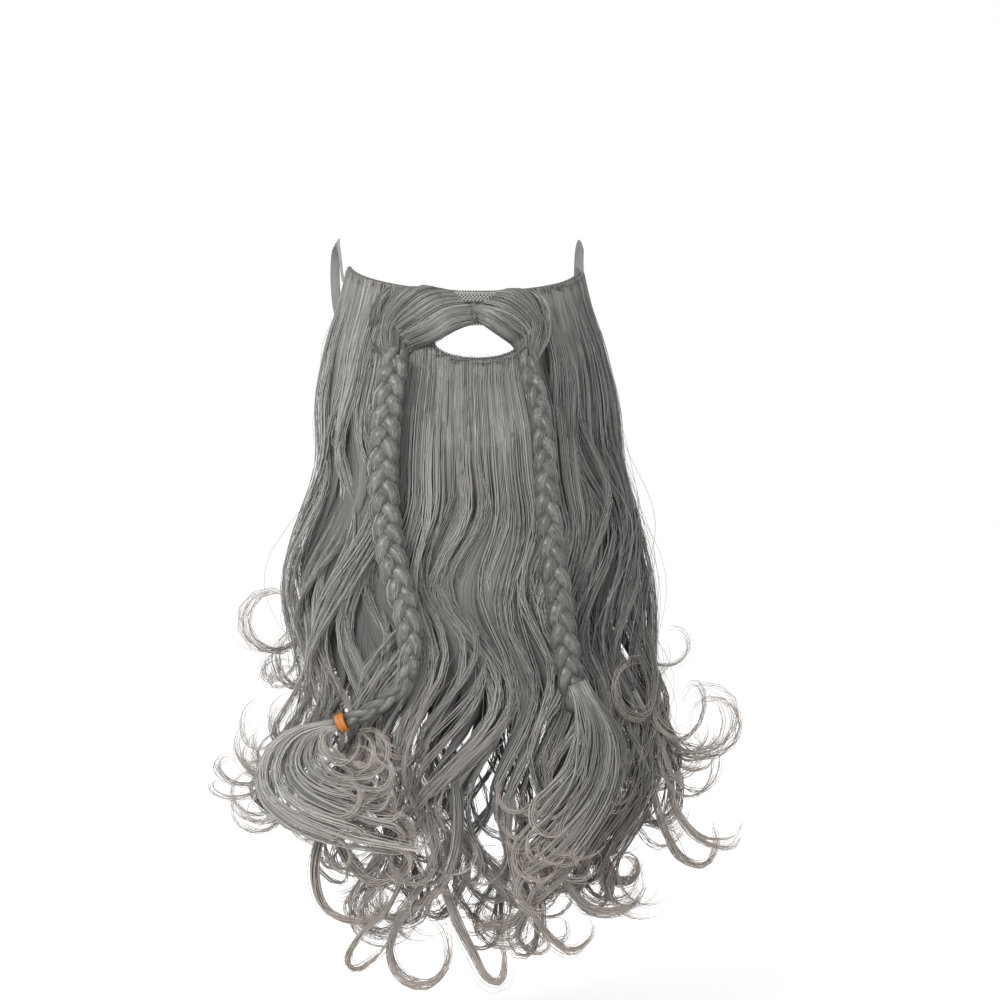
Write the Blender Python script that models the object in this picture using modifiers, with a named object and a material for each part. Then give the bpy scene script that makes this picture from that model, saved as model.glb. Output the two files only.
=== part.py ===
"""A long false beard with a moustache and two braids, hanging as it does when it is worn.

Metres, +Z up. The wearer looks along -Y, and the wearer's right side is at -X.
The origin is the middle of the mouth opening, at the lips.
"""

import math
from collections import namedtuple

import bmesh
import bpy
from mathutils import Vector

COLLECTION_NAME = "false_beard"
GAP = 0.0003
FORWARD = Vector((0, -1, 0))

# The base is a knitted cup from ear to ear, open for the mouth.
BASE_WALL = 0.002
BASE_CELLS = (28, 8)
EAR_Y = 0.092
MOUTH_HALF_WIDTH = 0.026
MOUTH_HALF_HEIGHT = 0.0105
MOUTH_MIDDLE_Z = 0.001
MOUTH_CUTTER_LENGTH = 0.06
MOUTH_SIDES = 24
EDGING_THICKNESS = 0.0014

# Sewn bands that carry the locks.
WEFT_THICKNESS = 0.003
WEFT_INSET = 0.046

# Locks of hair, with half sizes where they start and end. Neighbours hang in two layers,
# and cover is a lock's width as a share of its room.
LOCK_SIDES = 6
LOCK_STEPS = 11
STEP_CROWDING = 0.8
CURL_STEPS = 5
CURL_TURN = math.radians(190)
LENGTH_STEP = 0.008
HANG_COVER = 1.20
LAYER_OFFSET = 0.0037
ROOT_HALF_DEPTH = 0.0024
HANG_HALF_DEPTH = 0.0044
ROOT_LIFT = 0.0005
ROOT_SINK = 0.45
TIP_HALF_WIDTH = 0.0026
TIP_HALF_DEPTH = 0.0020
ROOT_BLEND = 0.045
WAVE_LENGTH = 0.120
WAVE_FLATNESS = 0.3
# Shares of a lock's length at which it starts to narrow, and over which it would narrow away.
TAPER_START = 0.72
TAPER_LENGTH = 0.5
# How fast the tips rise from the middle to the sides, and how far a cheek's curl faces forward.
TIP_RISE_POWER = 1.5
CHEEK_CURL_FORWARD = 0.7

# Braids. A pitch is the length in which one strand comes back to its side.
BRAID_PITCH = 0.039
BRAID_RINGS_PER_PITCH = 8
BRAID_SIDES = 10
# As shares of a braid's half width: how far a strand swings sideways and front to back,
# how wide and deep it is, and the core that it never shows.
STRAND_SWING = 0.50
STRAND_WEAVE = 0.30
STRAND_HALF_WIDTH = 0.50
STRAND_HALF_DEPTH = 0.42
BRAID_CORE = 0.30
GATHER_LENGTH = 0.012
GATHER_SIDES = 10
LEAD_IN = 0.010
BAND_LENGTH = 0.006
BAND_HALF_WIDTH = 0.0058
BAND_SIDES = 14
# Where the band's four rings are along it, and how wide each is.
BAND_PROFILE = ((0, 0.9), (0.25, 1), (0.75, 1), (1, 0.9))
BAND_FLATNESS = 0.85
TAIL_RINGS = 15
TAIL_SIDES = 8
TAIL_TAPER = 0.75
TAIL_FLATNESS = 0.6

ELASTIC_WIDTH = 0.006
ELASTIC_THICKNESS = 0.0014
ELASTIC_SIDES = 6
ELASTIC_RINGS = 21

# Points in which a route is measured.
ROUTE_STEPS = 60

FaceRow = namedtuple("FaceRow", "front_z ear_z front_y half_width")
FACE_ROWS = (
    FaceRow(front_z=0.030, ear_z=0.048, front_y=0.005, half_width=0.0700),
    FaceRow(front_z=0.020, ear_z=0.039, front_y=0.002, half_width=0.0715),
    FaceRow(front_z=0.010, ear_z=0.030, front_y=0.000, half_width=0.0720),
    FaceRow(front_z=0.000, ear_z=0.022, front_y=0.000, half_width=0.0720),
    FaceRow(front_z=-0.010, ear_z=0.015, front_y=0.003, half_width=0.0710),
    FaceRow(front_z=-0.022, ear_z=0.008, front_y=0.005, half_width=0.0700),
    FaceRow(front_z=-0.036, ear_z=0.001, front_y=0.004, half_width=0.0680),
    FaceRow(front_z=-0.048, ear_z=-0.005, front_y=0.010, half_width=0.0660),
    FaceRow(front_z=-0.055, ear_z=-0.011, front_y=0.024, half_width=0.0630),
)

# Where hair hangs. Each row is the front half of an oval seen from above at height z.
HangRow = namedtuple("HangRow", "z half_width front_y depth")
FRONT_HANG = (
    HangRow(z=0.045, half_width=0.079, front_y=-0.005, depth=0.097),
    HangRow(z=-0.010, half_width=0.086, front_y=-0.009, depth=0.095),
    HangRow(z=-0.050, half_width=0.093, front_y=-0.020, depth=0.092),
    HangRow(z=-0.120, half_width=0.101, front_y=-0.028, depth=0.082),
    HangRow(z=-0.200, half_width=0.113, front_y=-0.032, depth=0.070),
    HangRow(z=-0.270, half_width=0.124, front_y=-0.033, depth=0.060),
    HangRow(z=-0.330, half_width=0.116, front_y=-0.031, depth=0.054),
    HangRow(z=-0.390, half_width=0.100, front_y=-0.028, depth=0.048),
)
UNDER_HANG = (
    HangRow(z=-0.040, half_width=0.066, front_y=0.014, depth=0.078),
    HangRow(z=-0.085, half_width=0.074, front_y=0.001, depth=0.074),
    HangRow(z=-0.120, half_width=0.080, front_y=-0.005, depth=0.068),
    HangRow(z=-0.200, half_width=0.091, front_y=-0.010, depth=0.058),
    HangRow(z=-0.270, half_width=0.100, front_y=-0.011, depth=0.050),
    HangRow(z=-0.330, half_width=0.092, front_y=-0.009, depth=0.046),
    HangRow(z=-0.390, half_width=0.078, front_y=-0.007, depth=0.042),
)

# Each fall of hair: where its band is sewn on the face, and the locks that hang from it.
# A band's columns are those of the base, so that the two lie flat on each other.
# Its locks spread to the places in hung, and curl at their ends with that radius.
Fall = namedtuple(
    "Fall",
    "name hang columns down band_rows locks root_cover front_first hung middle_z side_z wave curl",
)
FALLS = (
    Fall(
        name="chin_fall", hang=FRONT_HANG, columns=(-6, 6), down=(0.515, 0.60), band_rows=1,
        locks=7, root_cover=0.9, front_first=False, hung=(-0.37, 0.37),
        middle_z=-0.366, side_z=-0.270, wave=0.009, curl=0.012,
    ),
    Fall(
        name="cheek_fall_right", hang=FRONT_HANG, columns=(-13, -7), down=(0.03, 0.22), band_rows=2,
        locks=5, root_cover=0.9, front_first=True, hung=(-0.91, -0.48),
        middle_z=-0.362, side_z=-0.255, wave=0.009, curl=0.016,
    ),
    Fall(
        name="cheek_fall_left", hang=FRONT_HANG, columns=(6, 13), down=(0.03, 0.22), band_rows=2,
        locks=5, root_cover=0.9, front_first=True, hung=(0.48, 0.91),
        middle_z=-0.362, side_z=-0.255, wave=0.009, curl=0.016,
    ),
    Fall(
        name="under_fall", hang=UNDER_HANG, columns=(-12, 12), down=(0.885, 0.97), band_rows=1,
        locks=10, root_cover=0.66, front_first=False, hung=(-0.82, 0.82),
        middle_z=-0.350, side_z=-0.270, wave=0.008, curl=0.011,
    ),
)

# Centrelines as (x, y, z), from the top down.
Braid = namedtuple("Braid", "name route half_widths")
BRAIDS = (
    Braid(
        name="braid_right",
        route=(
            (-0.0485, -0.006, -0.004), (-0.0535, -0.015, -0.021), (-0.0575, -0.023, -0.049),
            (-0.0595, -0.028, -0.080), (-0.0580, -0.032, -0.106), (-0.0545, -0.037, -0.130),
            (-0.0485, -0.042, -0.152), (-0.0445, -0.045, -0.176), (-0.0460, -0.046, -0.193),
            (-0.0525, -0.044, -0.206), (-0.0670, -0.039, -0.217), (-0.0810, -0.034, -0.2235),
        ),
        half_widths=(0.0085, 0.0097, 0.0098, 0.0098, 0.0098, 0.0096, 0.0092, 0.0066, 0.0052, 0.0050),
    ),
    Braid(
        name="braid_left",
        route=(
            (0.0280, -0.012, -0.004), (0.0290, -0.019, -0.016), (0.0345, -0.029, -0.043),
            (0.0365, -0.035, -0.074), (0.0380, -0.040, -0.106), (0.0420, -0.044, -0.141),
            (0.0465, -0.046, -0.176), (0.0500, -0.046, -0.199), (0.0560, -0.045, -0.215),
        ),
        half_widths=(0.0064, 0.0065, 0.0070, 0.0078, 0.0082, 0.0085, 0.0087, 0.0085),
    ),
)

# The loose hair below each braid, from just past the point where it is tied.
Tail = namedtuple("Tail", "name start_gap half_width route")
TAILS = (
    Tail(
        name="braid_tail_right", start_gap=BAND_LENGTH + 3 * GAP, half_width=0.0105,
        route=(
            (-0.1120, -0.029, -0.2380), (-0.1160, -0.030, -0.2560),
            (-0.1060, -0.036, -0.2710), (-0.0890, -0.044, -0.2800), (-0.0680, -0.052, -0.2860),
            (-0.0500, -0.057, -0.2880),
        ),
    ),
    Tail(
        name="braid_tail_left", start_gap=2 * GAP, half_width=0.0110,
        route=(
            (0.0630, -0.046, -0.2360), (0.0620, -0.050, -0.2560), (0.0500, -0.055, -0.2760),
            (0.0330, -0.057, -0.2950), (0.0150, -0.056, -0.3090),
        ),
    ),
)

# The locks of the right half of the moustache. The left half is narrower by its spread.
# Only the second lock starts over the edging; the others start on the base.
# The profiles are shares of a lock's half width and half depth, from its root on.
SWEEP_MIDDLE_DOWN = 0.17
SWEEP_END_IN_STUB = 0.8
SWEEP_WIDTH_PROFILE = (0.75, 1, 1, 0.95, 0.9, 0.8, 0.6)
SWEEP_DEPTH_PROFILE = (0.7, 1, 1.2, 1.3, 1.3, 1.2, 1)
GATHER_WIDTH_PROFILE = (0.95, 1, 0.9)
GATHER_DEPTH_PROFILE = (0.7, 0.75, 0.65)
Sweep = namedtuple("Sweep", "root_x down root_out lift half_width half_depth")
MOUSTACHE_SWEEPS = (
    Sweep(root_x=0.0050, down=0.170, root_out=0.0, lift=0.0060, half_width=0.0062, half_depth=0.0028),
    Sweep(root_x=0.0180, down=0.045, root_out=0.0024, lift=0.0090, half_width=0.0064, half_depth=0.0034),
    Sweep(root_x=0.0310, down=0.030, root_out=0.0, lift=0.0102, half_width=0.0068, half_depth=0.0038),
    Sweep(root_x=0.0440, down=0.048, root_out=0.0, lift=0.0080, half_width=0.0060, half_depth=0.0034),
)
MOUSTACHE_SPREADS = {"right": 1.0, "left": 0.80}

# Each ear loop is sewn on the base at its first and last points, as (across, down).
EAR_LOOP_ENDS = ((0.955, 0.110), (0.955, 0.790))
EAR_LOOP_ROUTE = (
    (0.0752, 0.0960, 0.0440), (0.0760, 0.1060, 0.0570), (0.0768, 0.1180, 0.0650),
    (0.0772, 0.1290, 0.0580), (0.0772, 0.1330, 0.0420), (0.0760, 0.1300, 0.0240),
    (0.0740, 0.1210, 0.0090), (0.0718, 0.1090, 0.0010), (0.0705, 0.0980, -0.0020),
)

Finish = namedtuple("Finish", "color roughness")
FINISHES = {
    "hair": Finish(color=(0.36, 0.35, 0.34), roughness=0.42),
    "net": Finish(color=(0.16, 0.16, 0.16), roughness=0.85),
    "edging": Finish(color=(0.22, 0.22, 0.23), roughness=0.80),
    "elastic": Finish(color=(0.30, 0.30, 0.30), roughness=0.75),
    "band": Finish(color=(0.72, 0.24, 0.04), roughness=0.50),
}


def own_material(name, kind):
    made = bpy.data.materials.new(name)
    made.use_nodes = True
    shader = made.node_tree.nodes["Principled BSDF"]
    shader.inputs["Base Color"].default_value = (*FINISHES[kind].color, 1)
    shader.inputs["Roughness"].default_value = FINISHES[kind].roughness
    return made


def new_collection(name):
    made = bpy.data.collections.new(name)
    bpy.context.scene.collection.children.link(made)
    return made


def add_object(name, mesh, kind, collection):
    """Turns a bmesh into a smooth-shaded object with a material of its own."""
    bmesh.ops.recalc_face_normals(mesh, faces=mesh.faces)
    data = bpy.data.meshes.new(name)
    mesh.to_mesh(data)
    mesh.free()
    data.shade_smooth()
    data.set_sharp_from_angle(angle=math.radians(50))
    data.materials.append(own_material(name, kind))
    made = bpy.data.objects.new(name, data)
    collection.objects.link(made)
    return made


def hide_helper(helper):
    helper.hide_render = True
    helper.display_type = "WIRE"


def smooth_step(share):
    share = min(max(share, 0.0), 1.0)
    return share * share * (3 - 2 * share)


def mix_rows(row, after, share):
    return type(row)(*(a + (b - a) * share for a, b in zip(row, after)))


def even_place(values, place):
    """The index before a place from 0 to 1 along evenly spaced values, and the rest."""
    spot = min(max(place, 0.0), 1.0) * (len(values) - 1)
    index = min(int(spot), len(values) - 2)
    return index, spot - index


def face_spot(across, down):
    """A point on the face. across runs from -1 at the right ear to 1 at the left."""
    index, share = even_place(FACE_ROWS, down)
    row = mix_rows(FACE_ROWS[index], FACE_ROWS[index + 1], share)
    turn = across * math.pi / 2
    back = 1 - math.cos(turn)
    return Vector((
        row.half_width * math.sin(turn),
        row.front_y + (EAR_Y - row.front_y) * back,
        row.front_z + (row.ear_z - row.front_z) * back,
    ))


def face_outward(across, down):
    step = 0.01
    sideways = face_spot(across + step, down) - face_spot(across - step, down)
    downward = face_spot(across, min(down + step, 1)) - face_spot(across, max(down - step, 0))
    return downward.cross(sideways).normalized()


def face_point(across, down, out):
    """A point that stands off the face by out."""
    return face_spot(across, down) + face_outward(across, down) * out


def face_patch(name, across, down, out, thickness, cells, kind, collection):
    """A sheet of that thickness which follows the face, its inner side at out."""
    mesh = bmesh.new()
    bmesh.ops.create_grid(mesh, x_segments=cells[0], y_segments=cells[1], size=1)
    for vert in mesh.verts:
        side = across[0] + (across[1] - across[0]) * (vert.co.x + 1) / 2
        level = down[0] + (down[1] - down[0]) * (1 - vert.co.y) / 2
        vert.co = face_point(side, level, out + thickness / 2)
    patch = add_object(name, mesh, kind, collection)
    wall = patch.modifiers.new("wall", "SOLIDIFY")
    wall.thickness = thickness
    wall.offset = 0
    return patch


def hang_row(rows, z):
    """The oval at height z, mixed from the rows above and below it."""
    z = min(max(z, rows[-1].z), rows[0].z)
    index = next(i for i in range(len(rows) - 1) if rows[i + 1].z <= z)
    share = (rows[index].z - z) / (rows[index].z - rows[index + 1].z)
    return mix_rows(rows[index], rows[index + 1], share)


def smooth_route(points, count):
    """count points along a smooth curve through the given ones."""
    points = [Vector(point) for point in points]
    ends = [points[0] * 2 - points[1], *points, points[-1] * 2 - points[-2]]
    route = []
    for step in range(count):
        index, t = even_place(points, step / (count - 1))
        a, b, c, d = ends[index:index + 4]
        bend = (a * 2 - b * 5 + c * 4 - d) * t ** 2 + (b * 3 - a - c * 3 + d) * t ** 3
        route.append((b * 2 + (c - a) * t + bend) / 2)
    return route


def even_route(points, count):
    """count points at equal distances along a smooth curve through the given ones."""
    fine = smooth_route(points, 40 * len(points))
    lengths = [0.0]
    for before, after in zip(fine, fine[1:]):
        lengths.append(lengths[-1] + (after - before).length)
    route = []
    index = 0
    for step in range(count):
        goal = lengths[-1] * step / (count - 1)
        while index < len(fine) - 2 and lengths[index + 1] < goal:
            index += 1
        share = (goal - lengths[index]) / (lengths[index + 1] - lengths[index])
        route.append(fine[index].lerp(fine[index + 1], share))
    return route


def route_length(points):
    fine = smooth_route(points, 40 * len(points))
    return sum((after - before).length for before, after in zip(fine, fine[1:]))


def frame_at(centres, index, outward):
    """The sideways and the outward direction square to a path."""
    before = centres[max(index - 1, 0)]
    after = centres[min(index + 1, len(centres) - 1)]
    wide = (after - before).cross(outward).normalized()
    return wide, wide.cross(after - before).normalized()


def skin(name, rings, kind, collection):
    """A closed tube through rings of points, with flat ends."""
    mesh = bmesh.new()
    rings = [[mesh.verts.new(point) for point in ring] for ring in rings]
    for ring, after in zip(rings, rings[1:]):
        for k in range(len(ring)):
            n = (k + 1) % len(ring)
            mesh.faces.new((ring[k], ring[n], after[n], after[k]))
    mesh.faces.new(rings[0])
    mesh.faces.new(rings[-1])
    return add_object(name, mesh, kind, collection)


def oval_tube(name, centres, outwards, half_widths, half_depths, sides, kind, collection):
    """An oval tube along the centres. Its flat side faces the outward directions."""
    rings = []
    for i, centre in enumerate(centres):
        wide, deep = frame_at(centres, i, outwards[i])
        rings.append([
            centre
            + wide * (half_widths[i] * math.cos(math.tau * k / sides))
            + deep * (half_depths[i] * math.sin(math.tau * k / sides))
            for k in range(sides)
        ])
    return skin(name, rings, kind, collection)


def join_to(trunk, parts):
    """Fuses the parts into the trunk with one Boolean union."""
    helpers = new_collection(trunk.name + "_locks")
    for part in parts:
        for owner in list(part.users_collection):
            owner.objects.unlink(part)
        helpers.objects.link(part)
        hide_helper(part)
    union = trunk.modifiers.new("fused", "BOOLEAN")
    union.operation = "UNION"
    union.operand_type = "COLLECTION"
    union.collection = helpers


def hang_point(row, turn, z):
    """A place on the oval of a row, and the outward direction there."""
    point = Vector((
        row.half_width * math.sin(turn), row.front_y + row.depth * (1 - math.cos(turn)), z,
    ))
    outward = Vector((math.sin(turn) * row.depth, -math.cos(turn) * row.half_width, 0))
    return point, outward.normalized()


def root_of(fall, across):
    """Where a lock starts on its band. Under the chin it starts inside the band."""
    down = sum(fall.down) / 2
    sunk = ROOT_SINK * max(0.0, -face_outward(across, down).z)
    return face_point(across, down, BASE_WALL + GAP + WEFT_THICKNESS * (1 - sunk) + ROOT_LIFT)


def add_lock(fall, index, across, spacing, collection):
    """One wavy lock, from its sewn root to the curl at its end."""
    place = index / (fall.locks - 1)
    root = root_of(fall, across)
    root_room = (face_spot(across + spacing / 2, 0.5) - face_spot(across - spacing / 2, 0.5)).length
    hung = fall.hung[0] + (fall.hung[1] - fall.hung[0]) * place
    hung_spacing = (fall.hung[1] - fall.hung[0]) / (fall.locks - 1)
    turn = hung * math.pi / 2
    in_front = (index % 2 == 0) == fall.front_first
    layer = LAYER_OFFSET if in_front else -LAYER_OFFSET
    tip_z = fall.middle_z + (fall.side_z - fall.middle_z) * abs(hung) ** TIP_RISE_POWER
    tip_z += LENGTH_STEP * (index % 3 - 1)
    centres, outwards, half_widths, half_depths = [], [], [], []
    for step in range(LOCK_STEPS):
        share = (step / (LOCK_STEPS - 1)) ** STEP_CROWDING
        z = root.z + (tip_z - root.z) * share
        row = hang_row(fall.hang, z)
        point, outward = hang_point(row, turn, z)
        along = Vector((-outward.y, outward.x, 0))
        settled = smooth_step((root.z - z) / ROOT_BLEND)
        swing = math.tau * z / WAVE_LENGTH
        reach = fall.wave * smooth_step(share * 2)
        centre = root.lerp(point, settled)
        centre.z = z
        centre += along * (reach * math.sin(swing))
        centre += outward * ((reach * WAVE_FLATNESS * math.cos(swing) + layer) * settled)
        centres.append(centre)
        outwards.append(outward)
        room_along = row.half_width * math.cos(turn), row.depth * math.sin(turn)
        hung_room = hung_spacing * math.pi / 2 * math.hypot(*room_along)
        room = root_room + (hung_room - root_room) * settled
        cover = fall.root_cover + (HANG_COVER - fall.root_cover) * settled
        taper = 1 - smooth_step((share - TAPER_START) / TAPER_LENGTH)
        half_widths.append(TIP_HALF_WIDTH + (room / 2 * cover - TIP_HALF_WIDTH) * taper)
        full = ROOT_HALF_DEPTH + (HANG_HALF_DEPTH - ROOT_HALF_DEPTH) * smooth_step(share * 4)
        half_depths.append(TIP_HALF_DEPTH + (full - TIP_HALF_DEPTH) * taper)
    add_curl(fall, index, hung, centres, outwards, half_widths, half_depths)
    return oval_tube(
        f"{fall.name}_lock_{index}", centres, outwards, half_widths, half_depths,
        LOCK_SIDES, "hair", collection,
    )


def add_curl(fall, index, hung, centres, outwards, half_widths, half_depths):
    """Bends the end of a lock round in a hook, outwards at the cheeks, to and fro elsewhere."""
    at_cheek = "cheek" in fall.name
    side = 1 if index % 2 else -1
    if at_cheek:
        side = math.copysign(1, hung)
    elif index in (0, fall.locks - 1):
        side = -math.copysign(1, hung)
    end = centres[-1]
    ahead = (end - centres[-2]).normalized()
    sideways = Vector((side, 0, 0))
    sideways = (sideways - ahead * sideways.dot(ahead)).normalized()
    start_width, start_depth = half_widths[-1], half_depths[-1]
    outward = outwards[-1].lerp(FORWARD, CHEEK_CURL_FORWARD if at_cheek else 0)
    for step in range(1, CURL_STEPS + 1):
        share = step / CURL_STEPS
        angle = CURL_TURN * share
        bend = ahead * math.sin(angle) + sideways * (1 - math.cos(angle))
        centres.append(end + bend * fall.curl)
        outwards.append(outward)
        half_widths.append(start_width + (TIP_HALF_WIDTH - start_width) * share)
        half_depths.append(start_depth + (TIP_HALF_DEPTH - start_depth) * share)


def build_fall(fall, collection):
    """A sewn band with its locks fused to it."""
    across = [column * 2 / BASE_CELLS[0] for column in fall.columns]
    band = face_patch(
        fall.name, across, fall.down, BASE_WALL + GAP, WEFT_THICKNESS,
        (fall.columns[1] - fall.columns[0], fall.band_rows), "hair", collection,
    )
    first = across[0] + WEFT_INSET
    spacing = (across[1] - across[0] - 2 * WEFT_INSET) / (fall.locks - 1)
    join_to(band, [
        add_lock(fall, index, first + spacing * index, spacing, collection)
        for index in range(fall.locks)
    ])


def build_base(collection):
    """The knitted cup, with the mouth cut through it."""
    base = face_patch("face_base", (-1, 1), (0, 1), 0, BASE_WALL, BASE_CELLS, "net", collection)
    mesh = bmesh.new()
    bmesh.ops.create_cone(
        mesh, cap_ends=True, segments=MOUTH_SIDES, radius1=1, radius2=1, depth=MOUTH_CUTTER_LENGTH,
    )
    for vert in mesh.verts:
        vert.co = Vector((
            vert.co.x * MOUTH_HALF_WIDTH,
            vert.co.z,
            vert.co.y * MOUTH_HALF_HEIGHT + MOUTH_MIDDLE_Z,
        ))
    cutter = add_object("mouth_cutter", mesh, "net", new_collection("cutters"))
    hide_helper(cutter)
    hole = base.modifiers.new("mouth", "BOOLEAN")
    hole.operation = "DIFFERENCE"
    hole.object = cutter


def across_at(x, row):
    """The share of the way round the face at which a row of it reaches x."""
    return math.asin(x / row.half_width) * 2 / math.pi


def build_moustache(side_name, braid, collection):
    """Locks swept over one side of the lip, fused to the stub where they gather into the braid."""
    name = f"moustache_{side_name}"
    side = 1 if side_name == "left" else -1
    start, after = even_route(braid.route, ROUTE_STEPS)[:2]
    ahead = (after - start).normalized()
    stub = [start - ahead * (GAP * 2 + GATHER_LENGTH * share) for share in (1, 0.5, 0)]
    gather = oval_tube(
        name, stub, [FORWARD] * len(stub),
        [braid.half_widths[0] * share for share in GATHER_WIDTH_PROFILE],
        [braid.half_widths[0] * share for share in GATHER_DEPTH_PROFILE],
        GATHER_SIDES, "hair", collection,
    )
    end = stub[0].lerp(stub[1], SWEEP_END_IN_STUB)
    end_across = across_at(end.x, FACE_ROWS[3])
    locks = []
    for index, sweep in enumerate(MOUSTACHE_SWEEPS):
        across = across_at(side * sweep.root_x * MOUSTACHE_SPREADS[side_name], FACE_ROWS[1])
        widths = [sweep.half_width * share for share in SWEEP_WIDTH_PROFILE]
        depths = [sweep.half_depth * share for share in SWEEP_DEPTH_PROFILE]
        root = face_point(across, sweep.down, BASE_WALL + ROOT_LIFT + sweep.root_out + depths[0])
        middle_across = (across + end_across) / 2
        middle = face_point(
            middle_across, SWEEP_MIDDLE_DOWN, BASE_WALL + sweep.half_depth + sweep.lift
        )
        centres = smooth_route((root, middle, end), len(widths))
        outwards = [face_outward(middle_across, SWEEP_MIDDLE_DOWN)] * len(widths)
        locks.append(oval_tube(
            f"{name}_lock_{index}", centres, outwards, widths, depths, LOCK_SIDES, "hair", collection,
        ))
    join_to(gather, locks)


def braid_outline(wide, deep, half, angle):
    """The outer edge, seen along a braid, of its three strands at that moment of the weave."""
    half_width = half * STRAND_HALF_WIDTH
    half_depth = half * STRAND_HALF_DEPTH
    # The middles of the three strands, sideways and outwards.
    strands = []
    for third in range(3):
        phase = angle + third * math.tau / 3
        swing = half * STRAND_SWING * math.sin(phase)
        strands.append((swing, half * STRAND_WEAVE * math.sin(2 * phase)))
    outline = []
    for k in range(BRAID_SIDES):
        across = math.cos(math.tau * k / BRAID_SIDES)
        out = math.sin(math.tau * k / BRAID_SIDES)
        reach = half * BRAID_CORE
        for x, y in strands:
            # The far crossing of the ray from the middle with this strand's oval.
            square = (across / half_width) ** 2 + (out / half_depth) ** 2
            linear = across * x / half_width ** 2 + out * y / half_depth ** 2
            rest = (x / half_width) ** 2 + (y / half_depth) ** 2 - 1
            inside = linear ** 2 - square * rest
            if inside > 0:
                reach = max(reach, (linear + math.sqrt(inside)) / square)
        outline.append(wide * (across * reach) + deep * (out * reach))
    return outline


def build_braid(braid, collection):
    """One body whose sections follow three strands as they cross over each other."""
    steps = round(route_length(braid.route) / BRAID_PITCH * BRAID_RINGS_PER_PITCH)
    centres = even_route(braid.route, steps + 1)
    rings = []
    for i, centre in enumerate(centres):
        index, share = even_place(braid.half_widths, i / steps)
        half = braid.half_widths[index] * (1 - share) + braid.half_widths[index + 1] * share
        wide, deep = frame_at(centres, i, FORWARD)
        outline = braid_outline(wide, deep, half, math.tau * i / BRAID_RINGS_PER_PITCH)
        rings.append([centre + offset for offset in outline])
    skin(braid.name, rings, "hair", collection)


def braid_end(braid):
    """Where a braid ends, and the direction it ends in."""
    before, end = even_route(braid.route, ROUTE_STEPS)[-2:]
    return end, (end - before).normalized()


def build_tail(tail, braid, collection):
    """The loose hair that goes on from the end of a braid."""
    end, ahead = braid_end(braid)
    start = end + ahead * tail.start_gap
    centres = smooth_route((start, start + ahead * LEAD_IN, *tail.route), TAIL_RINGS)
    half_widths = []
    for i in range(TAIL_RINGS):
        share = i / (TAIL_RINGS - 1)
        start_half = braid.half_widths[-1]
        swollen = start_half + (tail.half_width - start_half) * smooth_step(share * 3)
        half_widths.append(swollen * (1 - TAIL_TAPER * smooth_step(share * 2 - 1)))
    half_depths = [half * TAIL_FLATNESS for half in half_widths]
    oval_tube(
        tail.name, centres, [FORWARD] * TAIL_RINGS, half_widths, half_depths,
        TAIL_SIDES, "hair", collection,
    )


def build_band(braid, collection):
    """The small rubber band that ties a braid."""
    end, ahead = braid_end(braid)
    centres = [end + ahead * (GAP + BAND_LENGTH * share) for share, _ in BAND_PROFILE]
    half_widths = [BAND_HALF_WIDTH * swell for _, swell in BAND_PROFILE]
    half_depths = [half * BAND_FLATNESS for half in half_widths]
    oval_tube(
        "braid_band", centres, [FORWARD] * len(centres), half_widths, half_depths,
        BAND_SIDES, "band", collection,
    )


def build_ear_loop(name, side, collection):
    """Flat elastic round one ear, sewn on the base. Its middle turns to lie flat behind the ear."""
    off = BASE_WALL + 2 * GAP + ELASTIC_THICKNESS / 2
    top, bottom = (face_point(side * across, down, off) for across, down in EAR_LOOP_ENDS)
    middle_route = [(side * x, y, z) for x, y, z in EAR_LOOP_ROUTE]
    centres = smooth_route((top, *middle_route, bottom), ELASTIC_RINGS)
    middle = sum(centres, Vector()) / ELASTIC_RINGS
    sideways = face_outward(side * EAR_LOOP_ENDS[0][0], 0.5)
    outwards = []
    for i, centre in enumerate(centres):
        turned = math.sin(math.pi * i / (ELASTIC_RINGS - 1)) ** 4
        outwards.append(sideways * (1 - turned) + (centre - middle).normalized() * turned)
    half_widths = [ELASTIC_WIDTH / 2] * ELASTIC_RINGS
    half_depths = [ELASTIC_THICKNESS / 2] * ELASTIC_RINGS
    oval_tube(
        name, centres, outwards, half_widths, half_depths, ELASTIC_SIDES, "elastic", collection,
    )


def main():
    for leftover in list(bpy.data.objects):
        bpy.data.objects.remove(leftover)
    collection = new_collection(COLLECTION_NAME)
    build_base(collection)
    face_patch(
        "nose_edging", (-0.125, 0.125), (0.012, 0.075), BASE_WALL + GAP, EDGING_THICKNESS,
        (6, 1), "edging", collection,
    )
    for fall in FALLS:
        build_fall(fall, collection)
    for side_name, braid, tail in zip(("right", "left"), BRAIDS, TAILS):
        build_moustache(side_name, braid, collection)
        build_braid(braid, collection)
        build_tail(tail, braid, collection)
    build_band(BRAIDS[0], collection)
    build_ear_loop("ear_loop_right", -1, collection)
    build_ear_loop("ear_loop_left", 1, collection)


main()
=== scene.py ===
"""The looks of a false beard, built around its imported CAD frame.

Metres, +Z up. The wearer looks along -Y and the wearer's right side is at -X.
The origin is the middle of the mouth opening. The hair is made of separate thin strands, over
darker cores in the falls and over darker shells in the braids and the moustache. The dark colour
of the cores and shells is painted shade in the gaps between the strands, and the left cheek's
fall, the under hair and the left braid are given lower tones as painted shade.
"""

import math
from collections import namedtuple

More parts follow.
